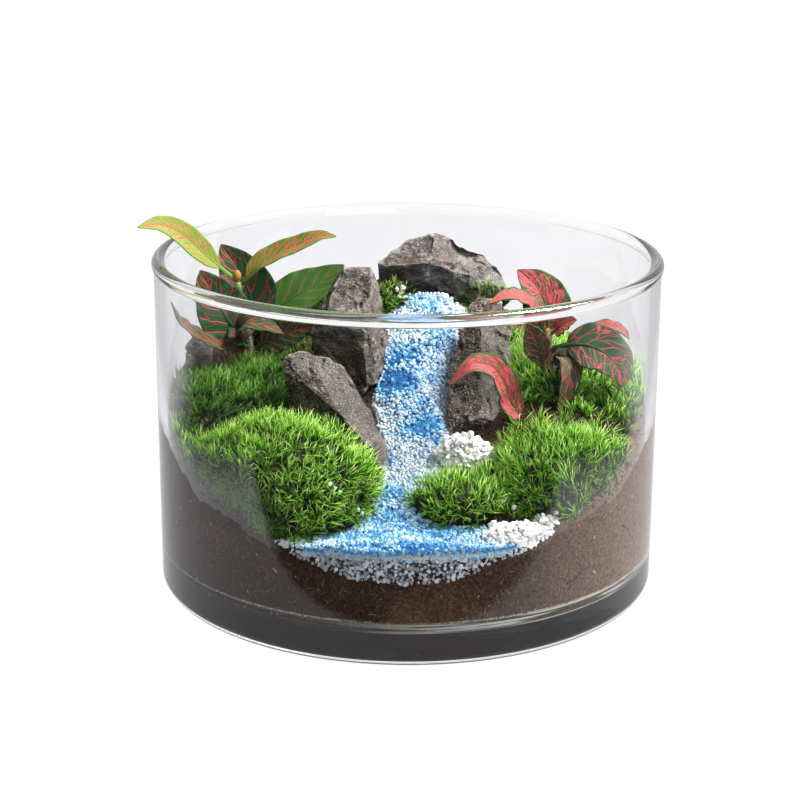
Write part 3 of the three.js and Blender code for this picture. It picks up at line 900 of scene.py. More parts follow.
@dataclass
class Bowl:
    """The glass bowl, turned from its profile. Sizes in millimetres."""

    radius: float = 75.0
    height: float = 101.0
    wall: float = 2.8
    floor: float = 9.0
    corner: float = 4.2
    rim_height: float = 3.7
    rim_bulge: float = 0.6
    turns: int = 192

    def inside(self, margin: float) -> float:
        """Gives the inner radius in metres, less a margin in millimetres."""
        return (self.radius - self.wall - margin) * MM

    def profile(self) -> list[Flat]:
        """Lists the outline from the foot's middle, up the wall, over the rim and to the floor's middle.

        Returns:
            Radius and height of each corner, in millimetres.
        """
        inner, mid = self.radius - self.wall, self.radius - self.wall / 2
        half_width, half_height = self.wall / 2 + self.rim_bulge, self.rim_height / 2
        lean = math.acos(self.wall / 2 / half_width)
        turns = [i / 12 * math.pi / 2 for i in range(13)]
        foot = [
            (self.radius - self.corner * (1 - math.sin(a)), self.corner * (1 - math.cos(a))) for a in turns
        ]
        bead = [
            (mid + half_width * math.cos(a), self.height - half_height + half_height * math.sin(a))
            for a in (-lean + (math.pi + 2 * lean) * i / 20 for i in range(21))
        ]
        hollow = [
            (inner - self.corner * (1 - math.cos(a)), self.floor + self.corner * (1 - math.sin(a)))
            for a in turns
        ]
        ends = [(0.0, 0.0), (0.0, self.floor)]
        outside = supported((self.radius, self.corner), bead[0])
        inside = supported(bead[-1], (inner, self.floor + self.corner))
        underside, bottom = supported(ends[0], foot[0]), supported(hollow[-1], ends[1])
        return [ends[0], *underside, *foot, *outside, *bead, *inside, *hollow, *bottom, ends[1]]

    def build(self) -> None:
        """Spins the profile and gives it its glass."""
        bm = bmesh.new()
        verts = [bm.verts.new((r * MM, 0.0, z * MM)) for r, z in self.profile()]
        edges = [bm.edges.new(pair) for pair in zip(verts, verts[1:])]
        bmesh.ops.spin(
            bm, geom=[*verts, *edges], cent=(0, 0, 0), axis=(0, 0, 1), angle=2 * math.pi,
            steps=self.turns, use_merge=True,
        )
        bmesh.ops.remove_doubles(bm, verts=bm.verts, dist=0.001 * MM)
        bmesh.ops.recalc_face_normals(bm, faces=bm.faces)
        show(as_mesh(bm, "bowl", True), "glass_bowl", "clear", [PressedGlass().material()], "glass")


@dataclass
class Ground:
    """Finds the surface of some nodes from above."""

    nodes: Sequence[str]
    trees: list[BVHTree] = field(default_factory=list)

    def __post_init__(self) -> None:
        """Reads the nodes' faces."""
        for node in self.nodes:
            bm = merged_copy(node)
            self.trees.append(BVHTree.FromBMesh(bm))
            bm.free()

    def drop(self, x: float, y: float) -> tuple[Vector, int] | None:
        """Finds the highest surface under a place.

        Args:
            x: Place to the right, in metres.
            y: Place to the back, in metres.

        Returns:
            The point and the node's number, or None off the nodes.
        """
        hits = [tree.ray_cast(Vector((x, y, 0.2)), Vector((0, 0, -1)))[0] for tree in self.trees]
        found = [(point, i) for i, point in enumerate(hits) if point is not None]
        return max(found, key=lambda hit: hit[0].z) if found else None


SAND_GROUND = Ground(("white_sand_bed", "blue_sand_run", "blue_sand_pool"))
SOIL_GROUND = Ground(("soil",))
OPEN_GROUND = Ground((
    "soil", *SAND_GROUND.nodes, "white_gravel_pile", "white_gravel_shore", "rock_back", "rock_left_tall",
    "rock_left_front", "rock_right", "stone_left_small",
))


@dataclass
class Soil:
    """The soil: the form of its node with a crumbly top, and fibres against the glass."""

    bowl: Bowl
    around: int = 440
    top_rings: int = 40
    wall_rings: int = 70
    under_rings: int = 6
    crumb: float = 0.5 * MM
    fibres: int = 900
    crumbs: int = 2200
    edge_crumbs: int = 1300
    edge_depth: float = 2.6 * MM
    # Hair roots against the glass: degrees to the right of the front, and height
    hair_roots: tuple[tuple[Flat, ...], ...] = (
        ((-56, 40), (-58, 31), (-60, 22), (-61, 13)), ((-38, 24), (-35, 19), (-31, 14)),
        ((-27, 20), (-24, 15)), ((57, 30), (61, 27), (64, 21)), ((38, 19), (44, 22), (49, 21)),
    )
    # Where the soil ends below the sand, as seen through the glass: place to the right and height
    shore: tuple[Flat, ...] = (
        (-62.0, 40.0), (-51.0, 41.0), (-43.5, 37.4), (-35.0, 33.7), (-29.0, 31.4), (-26.0, 30.6),
        (-21.0, 28.1), (-15.0, 27.0), (-7.0, 26.1), (-1.0, 25.0), (1.0, 24.5), (2.2, 28.0), (4.0, 26.8),
        (9.0, 27.2), (13.5, 27.9), (17.5, 29.0), (23.0, 31.4), (27.0, 32.6), (31.5, 33.3), (36.0, 34.9),
        (39.0, 36.3), (41.0, 38.0), (47.3, 39.6), (55.0, 42.6), (62.0, 42.0),
    )

    def top(self, r: float, angle: float) -> float:
        """Gives the soil's height at a place, kept off the very edge of its node.

        Args:
            r: Distance from the middle, in metres.
            angle: Heading in radians.

        Returns:
            The height in metres.
        """
        r = min(r, self.bowl.inside(1.0))
        hit = SOIL_GROUND.drop(r * math.cos(angle), r * math.sin(angle))
        return hit[0].z if hit else self.bowl.floor * MM

    def brim(self, angle: float) -> float:
        """Gives the height of the soil at the glass, with the crumbs that hide the sand's thin ends.

        Args:
            angle: Heading in radians.

        Returns:
            The height in metres.
        """
        edge = self.bowl.inside(0.0)
        x, y = edge * math.cos(angle), edge * math.sin(angle)
        level = self.top(edge, angle)
        if y > 0:
            return level
        places, heights = zip(*self.shore)
        crumbs = 0.9 * fractal(Vector((x, y, 0)), 1.6 * MM, 3, 4.0)
        if abs(x) > 0.03:
            crumbs += 1.3 * fractal(Vector((x, y, 0)), 4.0 * MM, 2, 6.0) - 0.5
        return max(level + crumbs * MM, (float(np.interp(x / MM, places, heights)) + crumbs) * MM)

    def gap(self, z: float, brim: float) -> float:
        """Gives how far the soil stands off the glass along its crumbly upper edge, in metres."""
        return 0.9 * MM * min(1.0, max(0.0, 1 - (brim - z) / self.edge_depth))

    def body(self) -> BMesh:
        """Wraps a fine grid round the node's form: over the top, down the wall and under.

        Returns:
            The closed shape.
        """
        edge, low = self.bowl.inside(-0.02), (self.bowl.floor - 0.02) * MM
        corner = self.bowl.corner * MM
        rows = self.top_rings + self.wall_rings + self.under_rings
        bm = bmesh.new()
        bmesh.ops.create_grid(bm, x_segments=self.around, y_segments=rows, size=0.5)
        brims = [self.brim(2 * math.pi * i / self.around) for i in range(self.around)]
        for v in bm.verts:
            turn = round((v.co.x + 0.5) * self.around) % self.around
            row = round((v.co.y + 0.5) * rows)
            angle = 2 * math.pi * turn / self.around
            c, s = math.cos(angle), math.sin(angle)
            if row < self.top_rings:
                r = (edge - 1.2 * MM) * (row / (self.top_rings - 1)) ** 0.8
                z = self.top(r, angle)
                z += self.crumb * fractal(Vector((r * c, r * s, z)), 2.2 * MM)
            elif row <= self.top_rings + self.wall_rings:
                share = (1 - (row - self.top_rings) / self.wall_rings) ** 1.5
                z = low + (brims[turn] - low) * share
                steep = max(0.0, 1 - (z - low) / corner)
                r = edge - corner * (1 - math.sqrt(1 - steep**2)) - self.gap(z, brims[turn])
            else:
                share = (row - self.top_rings - self.wall_rings) / self.under_rings
                r, z = (edge - corner) * (1 - share), low
            v.co = (r * c, r * s, z)
        bmesh.ops.remove_doubles(bm, verts=bm.verts, dist=0.001 * MM)
        bmesh.ops.recalc_face_normals(bm, faces=bm.faces)
        return bm

    def fibre_scatter(self, rng: Rng) -> Scatter:
        """Lays short fibres in all directions against the glass.

        Args:
            rng: The random draw.

        Returns:
            Their places.
        """
        turn = rng.random(self.fibres) * 2 * math.pi
        high = np.array([self.brim(a) for a in turn])
        out = np.stack([np.cos(turn), np.sin(turn), np.zeros_like(turn)], axis=1)
        along = np.stack([-np.sin(turn), np.cos(turn), np.zeros_like(turn)], axis=1)
        lean = rng.random((self.fibres, 1)) * math.pi
        ups = along * np.cos(lean) + np.array([0, 0, 1]) * np.sin(lean)
        places = out * self.bowl.inside(-0.02)
        places[:, 2] = 0.0125 + rng.random(self.fibres) * np.maximum(high - 0.0145, 0.001)
        sizes = (0.7 + 2.2 * rng.random(self.fibres) ** 3) * MM
        return Scatter(places, ups, sizes, rng.random(self.fibres), along * np.sin(lean) - ups[:, 2:3] * 0.1)

    def crumb_scatter(self, rng: Rng) -> Scatter:
        """Strews loose crumbs over the open ground, and along the glass where the soil stands off it.

        Args:
            rng: The random draw.

        Returns:
            Their places.
        """
        r = self.bowl.inside(0.9) * np.sqrt(rng.random(self.crumbs))
        turn = rng.random(self.crumbs) * 2 * math.pi
        high = np.array([self.top(a, b) for a, b in zip(r, turn)])
        n = self.edge_crumbs
        along = rng.random(n) * 2 * math.pi
        r = np.concatenate([r, self.bowl.inside(0.4) - 0.7 * MM * rng.random(n)])
        turn = np.concatenate([turn, along])
        brims = np.array([self.brim(a) for a in along]) - self.edge_depth * rng.random(n)
        high = np.concatenate([high, brims])
        places = np.stack([r * np.cos(turn), r * np.sin(turn), high], axis=1)
        sizes = (0.6 + 1.3 * rng.random(len(r)) ** 2) * MM
        sides = rng.normal(0, 1, places.shape)
        return Scatter(places, rng.normal(0, 1, places.shape), sizes, rng.random(len(r)), sides)

    def roots(self) -> Iterable[BMesh]:
        """Draws the few hair roots that show against the glass.

        Yields:
            One thin tube a root.
        """
        r = self.bowl.inside(0.05) / MM
        for way in self.hair_roots:
            turns, heights = np.array(way).T
            knots = np.linspace(0, 1, len(way))

            def spot(t: float, turns=turns, heights=heights, knots=knots) -> Vector:
                """Gives the root's place at a share of its way, in millimetres."""
                angle = math.radians(np.interp(t, knots, turns) - 90 + 0.5 * math.sin(9 * t))
                return Vector((r * math.cos(angle), r * math.sin(angle), np.interp(t, knots, heights)))

            yield wrapped(spot, lambda t: 0.24 * (1.1 - 0.8 * t), 6, 40)

    def build(self) -> None:
        """Builds the soil with its fibres, roots and crumbs."""
        rng = np.random.default_rng(5)
        pile = MeshPile(self.bowl.inside(-0.05))
        pile.put_body(self.body(), 0)
        straws = [needle(0.06, 0.05, 0.05), needle(0.05, 0.05, -0.12)]
        pile.put_stamps(straws, self.fibre_scatter(rng), 1, True)
        for root in self.roots():
            pile.put_body(root, 2)
        lumps = [crystal(rng, GrainForm.COARSE, 0.6) for _ in range(5)]
        pile.put_stamps(lumps, self.crumb_scatter(rng), 0)
        pile.show("soil", "filling", [
            MoistSoil(), PlainSkin("coir_fibre", "#8b6a48", "#b08b5e", 0.7),
            PlainSkin("hair_root", "#050303", "#0a0705", 0.9),
        ], "soil")


@dataclass(frozen=True)
class Rock:
    """A broken stone: the faces of its node, chipped and roughened."""

    node: str
    finish: BrokenLimestone
    seed: float
    slot: str = "rock"
    cuts: int = 5
    chip: float = 6.0 * MM
    # Dents have a place, a radius and a depth, and broken faces a place and a normal, in millimetres
    dents: tuple[tuple[Point, float, float], ...] = ()
    faces: tuple[tuple[Point, Point], ...] = ()

    def chipped(self, place: Vector) -> float:
        """Gives the relief of flat chips, each tilted its own way.

        Args:
            place: A place on the rock, in metres.

        Returns:
            How far it stands out, in metres.
        """
        warped = place / self.chip + Vector((self.seed, 0, 0))
        warped += 0.25 * noise.noise_vector(warped * 1.7)
        near = noise.voronoi(warped)[1][0]
        tilt = noise.cell_vector(near * 7.3) - Vector((0.5, 0.5, 0.5))
        return 0.32 * self.chip * tilt.dot(warped - near)

    def build(self) -> None:
        """Chips and roughens the form."""
        bm = merged_copy(self.node)
        bmesh.ops.subdivide_edges(bm, edges=bm.edges, cuts=self.cuts, use_grid_fill=True)
        for place, normal in self.faces:
            flat = Vector(normal).normalized()
            for v in bm.verts:
                v.co -= flat * max(0.0, (v.co - Vector(place) * MM).dot(flat))
        bm.normal_update()
        moves = []
        for v in bm.verts:
            rough = 0.8 * self.chipped(v.co)
            rough += 0.3 * MM * fractal(v.co, 3.0 * MM, 4, self.seed)
            for place, radius, depth in self.dents:
                far = (v.co - Vector(place) * MM).length / (radius * MM)
                rough -= depth * MM * math.exp(-(far**2))
            moves.append(v.normal * (rough - 0.25 * MM))
        for v, move in zip(bm.verts, moves):
            v.co += move
        show(as_mesh(bm, self.node, False), self.node, "broken", [self.finish.material()], self.slot)


BROWN_STONE = BrokenLimestone("split_brown_limestone", "#15110f", "#3a332e", "#6b6159", fleck_share=0.9)
ROCKS = (
    Rock("rock_back", BrokenLimestone("blue_grey_limestone", "#202127", "#544f4d", "#91877f"), 1.0, dents=(
        ((20.5, 52, 92), 5.0, 4.4), ((8.5, 43.5, 86), 2.4, 2.6), ((10.5, 43.5, 81.5), 2.8, 2.8),
    ), faces=(((4, 44.3, 87.0), (0.0, -0.93, -0.37)), ((2, 50, 91.2), (-0.1, -0.6, 0.8)))),
    Rock("rock_left_tall", BrokenLimestone("split_grey_limestone", "#1e1a18", "#4c4540", "#8a7f77"), 2.0,
         faces=(((-15.7, 0.7, 82), (0.158, -0.744, 0.649)), ((-17, -1.4, 76), (-0.25, -0.96, -0.12)),
                ((-10.4, 1, 75), (0.93, -0.33, 0.15)))),
    Rock("rock_left_front", BROWN_STONE, 3.0, faces=(
        ((-22.5, -25.5, 61.9), (-0.45, -0.87, -0.12)), ((-15.3, -17.0, 62.6), (0.69, -0.39, 0.61)),
    )),
    Rock("rock_right", BROWN_STONE, 4.0, faces=(
        ((21.5, -15, 57), (0.2, -0.97, -0.1)), ((17.5, 2, 68), (-0.38, -0.46, 0.8)),
        ((28, 7.6, 68.5), (0.62, -0.5, 0.6)),
    )),
    Rock("stone_left_small", BrokenLimestone("pale_pitted_stone", "#524b48", "#867e79", "#b3aba5"), 5.0,
         "pale_stone"),
)

# Soft patches of blue sand: middle, half width, half length and strength, in millimetres
BLUE_PATCHES = (
    (6, 39, 6, 4, 0.65), (10, 25, 5, 9, 0.6), (-1, 15, 7, 6, 0.85), (-3, 4, 8, 7, 1.0), (7, 8, 5, 7, 0.5),
    (3, -6, 7, 5, 0.5), (5, -14, 7, 5, 0.9), (-7, -24, 4, 4, 0.5), (-4, -41, 6, 6, 0.75),
    (-4, -50, 10, 6, 0.9), (-12, -60, 13, 6, 0.95), (9, -57, 12, 7, 1.0), (2, -68, 24, 4, 1.0),
)
# How pale the fine blue sand is, from the front of the pool to the back of the stream
PALE_FROM_FRONT = (
    (-72, 0.12), (-69, 0.3), (-64, 0.75), (-45, 0.7), (-12, 0.5), (4, 0.22), (16, 0.25), (30, 0.6),
    (42, 0.9),
)
# Below this the sand against the glass has no blue in it, and takes a shaded copy of the quartz as painted
# shade
SHADE_LINE = 31.5 * MM
WHITE_TONES = ((0.0, "#3283c2"), (0.3, "#78abd2"), (0.55, "#b0cadc"), (0.8, "#d0d6dd"), (1.0, "#eeeff2"))
# A greyer copy of the white quartz: painted shade on the sand against the glass
SHADED_SAND_TONES = ((0.0, "#565458"), (0.35, "#85868c"), (0.7, "#a8abb2"), (1.0, "#d6d9df"))
BLUE_TONES = ((0.0, "#215a90"), (0.35, "#3a80b6"), (0.7, "#5aa8d8"), (1.0, "#a4d4ee"))
MARBLE_TONES = ((0.0, "#c9c0b8"), (0.2, "#f8f6f4"), (1.0, "#ffffff"))


def blueness(place: Sequence[float]) -> float:
    """Tells how blue the sand is at a place.

    Args:
        place: The place in metres.

    Returns:
        0 for white sand to 1 for full blue.
    """
    x, y = place[0] / MM, place[1] / MM
    best = 0.0
    for middle, back, half_width, half_length, strength in BLUE_PATCHES:
        far = ((x - middle) / half_width) ** 2 + ((y - back) / half_length) ** 2
        best = max(best, strength * math.exp(-0.75 * far**1.2))
    cloud = noise.fractal(Vector((x, y, 0)) / 3.5, 1.0, 2.0, 3)
    return min(1.0, max(0.0, best + 0.3 * cloud))


def sand_level(x: float, y: float) -> Flat:
    """Gives the height of the sand at a place, and the same with the layers' steps evened out.

    Args:
        x: Place to the right, in metres.
        y: Place to the back, in metres.

    Returns:
        Both heights in metres.
    """
    reach = 2.0 * MM
    turns = [k * math.pi / 3 for k in range(6)]
    spots = [(x, y)] + [(x + reach * math.cos(a), y + reach * math.sin(a)) for a in turns]
    found = [SAND_GROUND.drop(*spot) for spot in spots]
    heights = [hit[0].z for hit in found if hit]
    own = found[0][0].z if found[0] else max(heights, default=0.0)
    return own, sum(heights) / len(heights) if heights else own


class SandKind(Enum):
    """Which sand a layer's body is made of, by its number among the finishes."""

    WHITE = 0
    BLUE = 1


@dataclass
class SandLayer:
    """A layer of loose grains: the form of its node under grains on top and against the glass."""

    node: str
    kind: SandKind
    bowl: Bowl
    seed: int
    coarse_draws: int = 6000
    fine_draws: int = 16000
    grain: float = 1.35 * MM
    fine: float = 0.55 * MM
    paleness: float = 0.76
    seam_grains: int = 0

    def settled(self, draws: int, grain: float, gap: float, rng: Rng) -> Scatter:
        """Lays grains on the top and on the section against the glass.

        Args:
            draws: How many are tried.
            grain: Their mean size in metres.
            gap: The least distance between two, as a share of their size.
            rng: The random draw.

        Returns:
            Their places.
        """
        bm = merged_copy(self.node)
        edge = self.bowl.inside(0.6)

        def shows(middle: Vector, normal: Vector) -> bool:
            """Tells whether a face lies on top or against the glass."""
            return normal.z > 0.2 or (math.hypot(middle.x, middle.y) > edge and normal.z > -0.4)

        points, normals = surface_samples(bm, draws, rng, shows)
        bm.free()
        levels = np.array([sand_level(p[0], p[1]) for p in points])
        flat = normals[:, 2] > 0.45
        seen = ~flat | (points[:, 2] > levels[:, 0] - 0.5 * MM)
        points[flat, 2] = levels[flat, 1]
        points, normals = points[seen], normals[seen]
        kept = thinned(points, grain * gap)
        points, normals = points[kept], normals[kept]
        n = len(points)
        sizes = grain * np.clip(rng.normal(1.0, 0.24, n), 0.55, 1.7)
        places = points + normals * (sizes * 0.1)[:, None]
        blue = np.array([blueness(p) for p in points])
        return Scatter(places, rng.normal(0, 1, (n, 3)), sizes, blue, rng.normal(0, 1, (n, 3)))

    def seam(self, rng: Rng) -> Scatter:
        """Lays small grains against the glass, where the blue sand ends and the white shows below it.

        Args:
            rng: The random draw.

        Returns:
            Their places, with how deep each one lies as its tone.
        """
        n = self.seam_grains
        x = (-28 + 57 * rng.random(n)) * MM
        r = self.bowl.inside(0.5)
        deep = rng.random(n)
        high = np.array([sand_level(a, -math.sqrt((r - 0.8 * MM) ** 2 - a * a))[0] for a in x])
        places = np.stack([x, -np.sqrt(r * r - x * x), high - 2.6 * MM * deep], axis=1)
        sizes = (0.7 + 0.6 * rng.random(n)) * MM
        return Scatter(places, rng.normal(0, 1, (n, 3)), sizes, deep, rng.normal(0, 1, (n, 3)))

    def core(self) -> BMesh:
        """Copies the node's form, with room for the grains over it.

        Returns:
            The form.
        """
        bm = merged_copy(self.node)
        bm.normal_update()
        for v in bm.verts:
            far = math.hypot(v.co.x, v.co.y)
            if self.kind is SandKind.WHITE and far > self.bowl.inside(1.6):
                v.co *= (Vector((1, 1, 0)) * ((self.bowl.inside(1.1)) / far) + Vector((0, 0, 1)))
            elif v.normal.z > 0.3 and far < self.bowl.inside(1.6):
                v.co.z -= 0.7 * MM
        return bm

    def damp(self, grains: Scatter) -> np.ndarray:
        """Tells which grains lie low against the glass, where they take painted shade."""
        at_glass = np.hypot(grains.places[:, 0], grains.places[:, 1]) > self.bowl.inside(0.8)
        return at_glass & (grains.places[:, 2] < SHADE_LINE)

    def picked(self, grains: Scatter, own: np.ndarray, tones: np.ndarray) -> Scatter:
        """Keeps some of the grains and gives them their tones.

        Args:
            grains: The grains.
            own: Which ones stay.
            tones: A tone for each of all the grains.

        Returns:
            The ones that stay.
        """
        tones = np.clip(tones, 0, 1)
        return Scatter(grains.places[own], grains.ups[own], grains.sizes[own], tones[own], grains.sides[own])

    def build(self) -> None:
        """Builds the layer's body, its quartz grains and the fine blue sand over them."""
        rng = np.random.default_rng(self.seed)
        pile = MeshPile(self.bowl.inside(0.12))
        if self.kind is SandKind.WHITE:
            # The bed's steep faces at the glass take the darkest tone of the shaded copy: painted shade in
            # the gaps between the grains
            pile.put_body(self.core(), 0, 0.6, False, (self.bowl.inside(2.0), 2))
        else:
            pile.put_body(self.core(), 1, 0.3, False)
        coarse = self.settled(self.coarse_draws, self.grain, 0.58, rng)
        deep = self.damp(coarse)
        blue = np.where(deep, 0.08, coarse.tones)
        own = rng.random(len(blue)) > (blue - 0.55) * 1.6
        tones = self.paleness - 0.6 * blue + rng.normal(0, 0.12, len(blue))
        quartz = [crystal(rng, GrainForm.COARSE, 0.55) for _ in range(7)]
        pile.put_stamps(quartz, self.picked(coarse, own & ~deep, tones), 0)
        # Grains low against the glass take the shaded copy of the quartz: painted shade
        pile.put_stamps(quartz, self.picked(coarse, own & deep, 0.35 + 0.65 * rng.random(len(blue))), 2)
        fine = self.settled(self.fine_draws, self.fine, 0.6, rng)
        blue = np.where(self.damp(fine), 0.0, fine.tones)
        own = rng.random(len(blue)) < np.clip(1.35 * blue - 0.12, 0.015, 1.0)
        dust_and_reflection = [crystal(rng, GrainForm.FINE, 0.3) for _ in range(4)]
        tones = np.interp(fine.places[:, 1] / MM, *zip(*PALE_FROM_FRONT)) + rng.normal(0, 0.16, len(blue))
        pile.put_stamps(dust_and_reflection, self.picked(fine, own, tones), 1)
        if self.seam_grains:
            seam = self.seam(rng)
            upper = seam.tones + rng.normal(0, 0.15, len(seam.tones)) < 0.45
            pile.put_stamps(dust_and_reflection, self.picked(seam, upper, 0.25 + seam.tones), 1)
            pile.put_stamps(dust_and_reflection, self.picked(seam, ~upper, 0.45 + 0.4 * seam.tones), 0)
        pile.show(self.node, "grains", [
            Grit("white_quartz_sand", WHITE_TONES, 0.32, 0.45), Grit("blue_dyed_sand", BLUE_TONES, 0.55),
            Grit("damp_quartz_sand", SHADED_SAND_TONES, 0.3),
        ], f"{self.kind.name.lower()}_sand")


@dataclass
class GravelHeap:
    """A heap of coarse white grit: its node's form under broken grains."""

    node: str
    bowl: Bowl
    seed: int
    # Single grains that lie away from the heap, in millimetres
    loose: tuple[Point, ...]
    grain: float = 1.9 * MM
    # Beyond this the heap thins out under the moss, and is left off
    right_end: float = 100.0 * MM

    def build(self) -> None:
        """Builds the heap."""
        rng = np.random.default_rng(self.seed)
        bm = merged_copy(self.node)
        for v in bm.verts:
            v.co.x = min(v.co.x, self.right_end)
        points, normals = surface_samples(bm, 1600, rng, lambda middle, normal: normal.z > -0.3)
        kept = thinned(points, self.grain * 0.48)
        points, normals = points[kept], normals[kept]
        n = len(points)
        sizes = self.grain * np.clip(rng.normal(0.95, 0.3, n), 0.4, 1.6)
        places = points + normals * (0.45 * sizes * rng.random(n))[:, None]
        places = np.concatenate([places, np.array(self.loose) * MM])
        sizes = np.concatenate([sizes, self.grain * (0.7 + 0.5 * rng.random(len(self.loose)))])
        n = len(places)
        grains = Scatter(places, rng.normal(0, 1, (n, 3)), sizes, rng.random(n), rng.normal(0, 1, (n, 3)))
        pile = MeshPile(self.bowl.inside(0.15))
        # The core takes the darkest tone, beige grey: painted shade in the gaps between the grains
        pile.put_body(bm, 0, 0.0)
        pile.put_stamps([crystal(rng, GrainForm.LUMPY, 0.75) for _ in range(8)], grains, 0)
        pile.show(self.node, "grit", [Grit("white_marble_grit", MARBLE_TONES, 0.55, 0.15)], "white_gravel")


@dataclass
class MossCushion:
    """A moss cushion: a soft core, dark as painted shade, under star-shaped shoots of fine pointed leaves.
    """

    node: str
    bowl: Bowl
    finish: LivingMoss
    seed: int
    shoot_gap: float = 1.75 * MM
    leaves: int = 13
    length: float = 5.2 * MM
    sink: float = 3.0 * MM
    slim: float = 0.075
    fringe: float = 5.0 * MM
    fringe_draws: int = 700
    # Round carpets of shoots on the open soil: middle and radius, in millimetres
    carpet: tuple[Point, ...] = ()
    # Where shoots stand along the glass: first and last heading in degrees, and how many
    hem: Point = (0, 0, 0)

    def core(self) -> BMesh:
        """Smooths the tufts of the node away and shrinks it a little.

        Returns:
            The core.
        """
        bm = merged_copy(self.node)
        for _ in range(4):
            bmesh.ops.smooth_vert(bm, verts=bm.verts, factor=0.5, use_axis_x=True, use_axis_y=True,
                                  use_axis_z=True)
        bm.normal_update()
        for v in bm.verts:
            v.co -= v.normal * self.sink * max(0.0, v.normal.z + 0.3)
        return bm

    def strays(self, bm: BMesh, rng: Rng) -> np.ndarray:
        """Places shoots on the soil: thinning out round the cushion, in its carpets and along the glass.

        Args:
            bm: The core.
            rng: The random draw.

        Returns:
            Their feet.
        """
        tree = BVHTree.FromBMesh(bm)
        low = np.array([min(v.co[i] for v in bm.verts) for i in range(2)]) - self.fringe
        high = np.array([max(v.co[i] for v in bm.verts) for i in range(2)]) + self.fringe
        tries = [(*(low + rng.random(2) * (high - low)), True) for _ in range(self.fringe_draws)]
        for x, y, radius in self.carpet:
            turns, shares = rng.random((2, int(0.9 * radius**2)))
            far = radius * MM * np.sqrt(shares)
            across, along = x * MM + far * np.cos(6.283 * turns), y * MM + far * np.sin(6.283 * turns)
            tries += [(a, b, False) for a, b in zip(across, along)]
        feet = []
        for x, y, thins in tries:
            hit = OPEN_GROUND.drop(x, y)
            if hit is None or hit[1] > 0 or math.hypot(x, y) > self.bowl.inside(1.0):
                continue
            near = tree.find_nearest(hit[0])[3]
            if not thins or rng.random() < 0.75 * (1 - near / self.fringe):
                feet.append(hit[0][:])
        for angle in np.radians(rng.uniform(*self.hem)):
            r = self.bowl.inside(1.0 + 2.6 * rng.random() ** 2)
            hit = SOIL_GROUND.drop(r * math.cos(angle), r * math.sin(angle))
            if hit is not None:
                feet.append((hit[0].x, hit[0].y, hit[0].z - 2.2 * MM * rng.random()))
        return np.array(feet).reshape(-1, 3)

    def shoots(self, bm: BMesh, rng: Rng) -> Scatter:
        """Places the shoots on the core, and every shoot's leaves round its axis.

        Args:
            bm: The core.
            rng: The random draw.

        Returns:
            The leaves.
        """
        area = sum(f.calc_area() for f in bm.faces if f.normal.z > -0.25)
        draws = int(area / self.shoot_gap**2 * 4)
        points, normals = surface_samples(bm, draws, rng, lambda middle, normal: normal.z > -0.25)
        loose = self.strays(bm, rng)
        points = np.concatenate([points, loose])
        normals = np.concatenate([normals, np.tile([0.0, 0.0, 1.0], (len(loose), 1))])
        kept = thinned(points, self.shoot_gap)
        points, normals = points[kept], normals[kept]
        count = len(points)
        shift = Vector((self.seed, 0, 0))
        swing = np.array([noise.noise_vector(Vector(p) / (7 * MM) + shift)[:] for p in points])
        axes = normals + [0, 0, 0.3] + 0.5 * swing + rng.normal(0, 0.28, (count, 3))
        axes /= np.linalg.norm(axes, axis=1, keepdims=True)
        vigour = 1 + 0.3 * np.array([fractal(Vector(p), 7 * MM, 2, self.seed) for p in points])
        vigour += rng.normal(0, 0.1, count)
        lifts = self.length * 0.35 * rng.random(count)
        shade = np.clip(0.5 + 0.9 * (vigour - 1) + rng.normal(0, 0.14, count), 0, 1)
        # Each leaf leaves its shoot sideways and curves up, the outer ones more
        n = count * self.leaves
        own = np.repeat(np.arange(count), self.leaves)
        turn = rng.random(n) * 2 * math.pi
        spread = 0.12 + 0.75 * np.sqrt(rng.random(n))
        first = np.cross(axes[own], rng.normal(0, 1, (n, 3)))
        first /= np.linalg.norm(first, axis=1, keepdims=True)
        second = np.cross(axes[own], first)
        out = first * np.cos(turn)[:, None] + second * np.sin(turn)[:, None]
        ups = axes[own] + out * spread[:, None]
        places = points[own] + axes[own] * lifts[own, None] + out * (0.25 * MM)
        growth = vigour[own] * (1.05 - 0.25 * spread) + rng.normal(0, 0.12, n)
        tones = np.clip(shade[own] + rng.normal(0, 0.2, n), 0, 1)
        return Scatter(places, ups, self.length * np.clip(growth, 0.45, 1.5), tones, out)

    def build(self) -> None:
        """Grows the shoots over the core."""
        rng = np.random.default_rng(self.seed)
        bm = self.core()
        leaves = self.shoots(bm, rng)
        pile = MeshPile(self.bowl.inside(0.3))
        pile.put_body(bm, 1)
        blades = [needle(self.slim, self.slim * 0.45, bend) for bend in (-0.12, 0.1, 0.3)]
        pile.put_stamps(blades, leaves, 0, True)
        # The core under the shoots is dark as painted shade
        shade_core = PlainSkin("moss_litter", "#0d1206", "#1c1a0c", 1.0)
        pile.show(self.node, "leaves", [self.finish, shade_core], "moss")


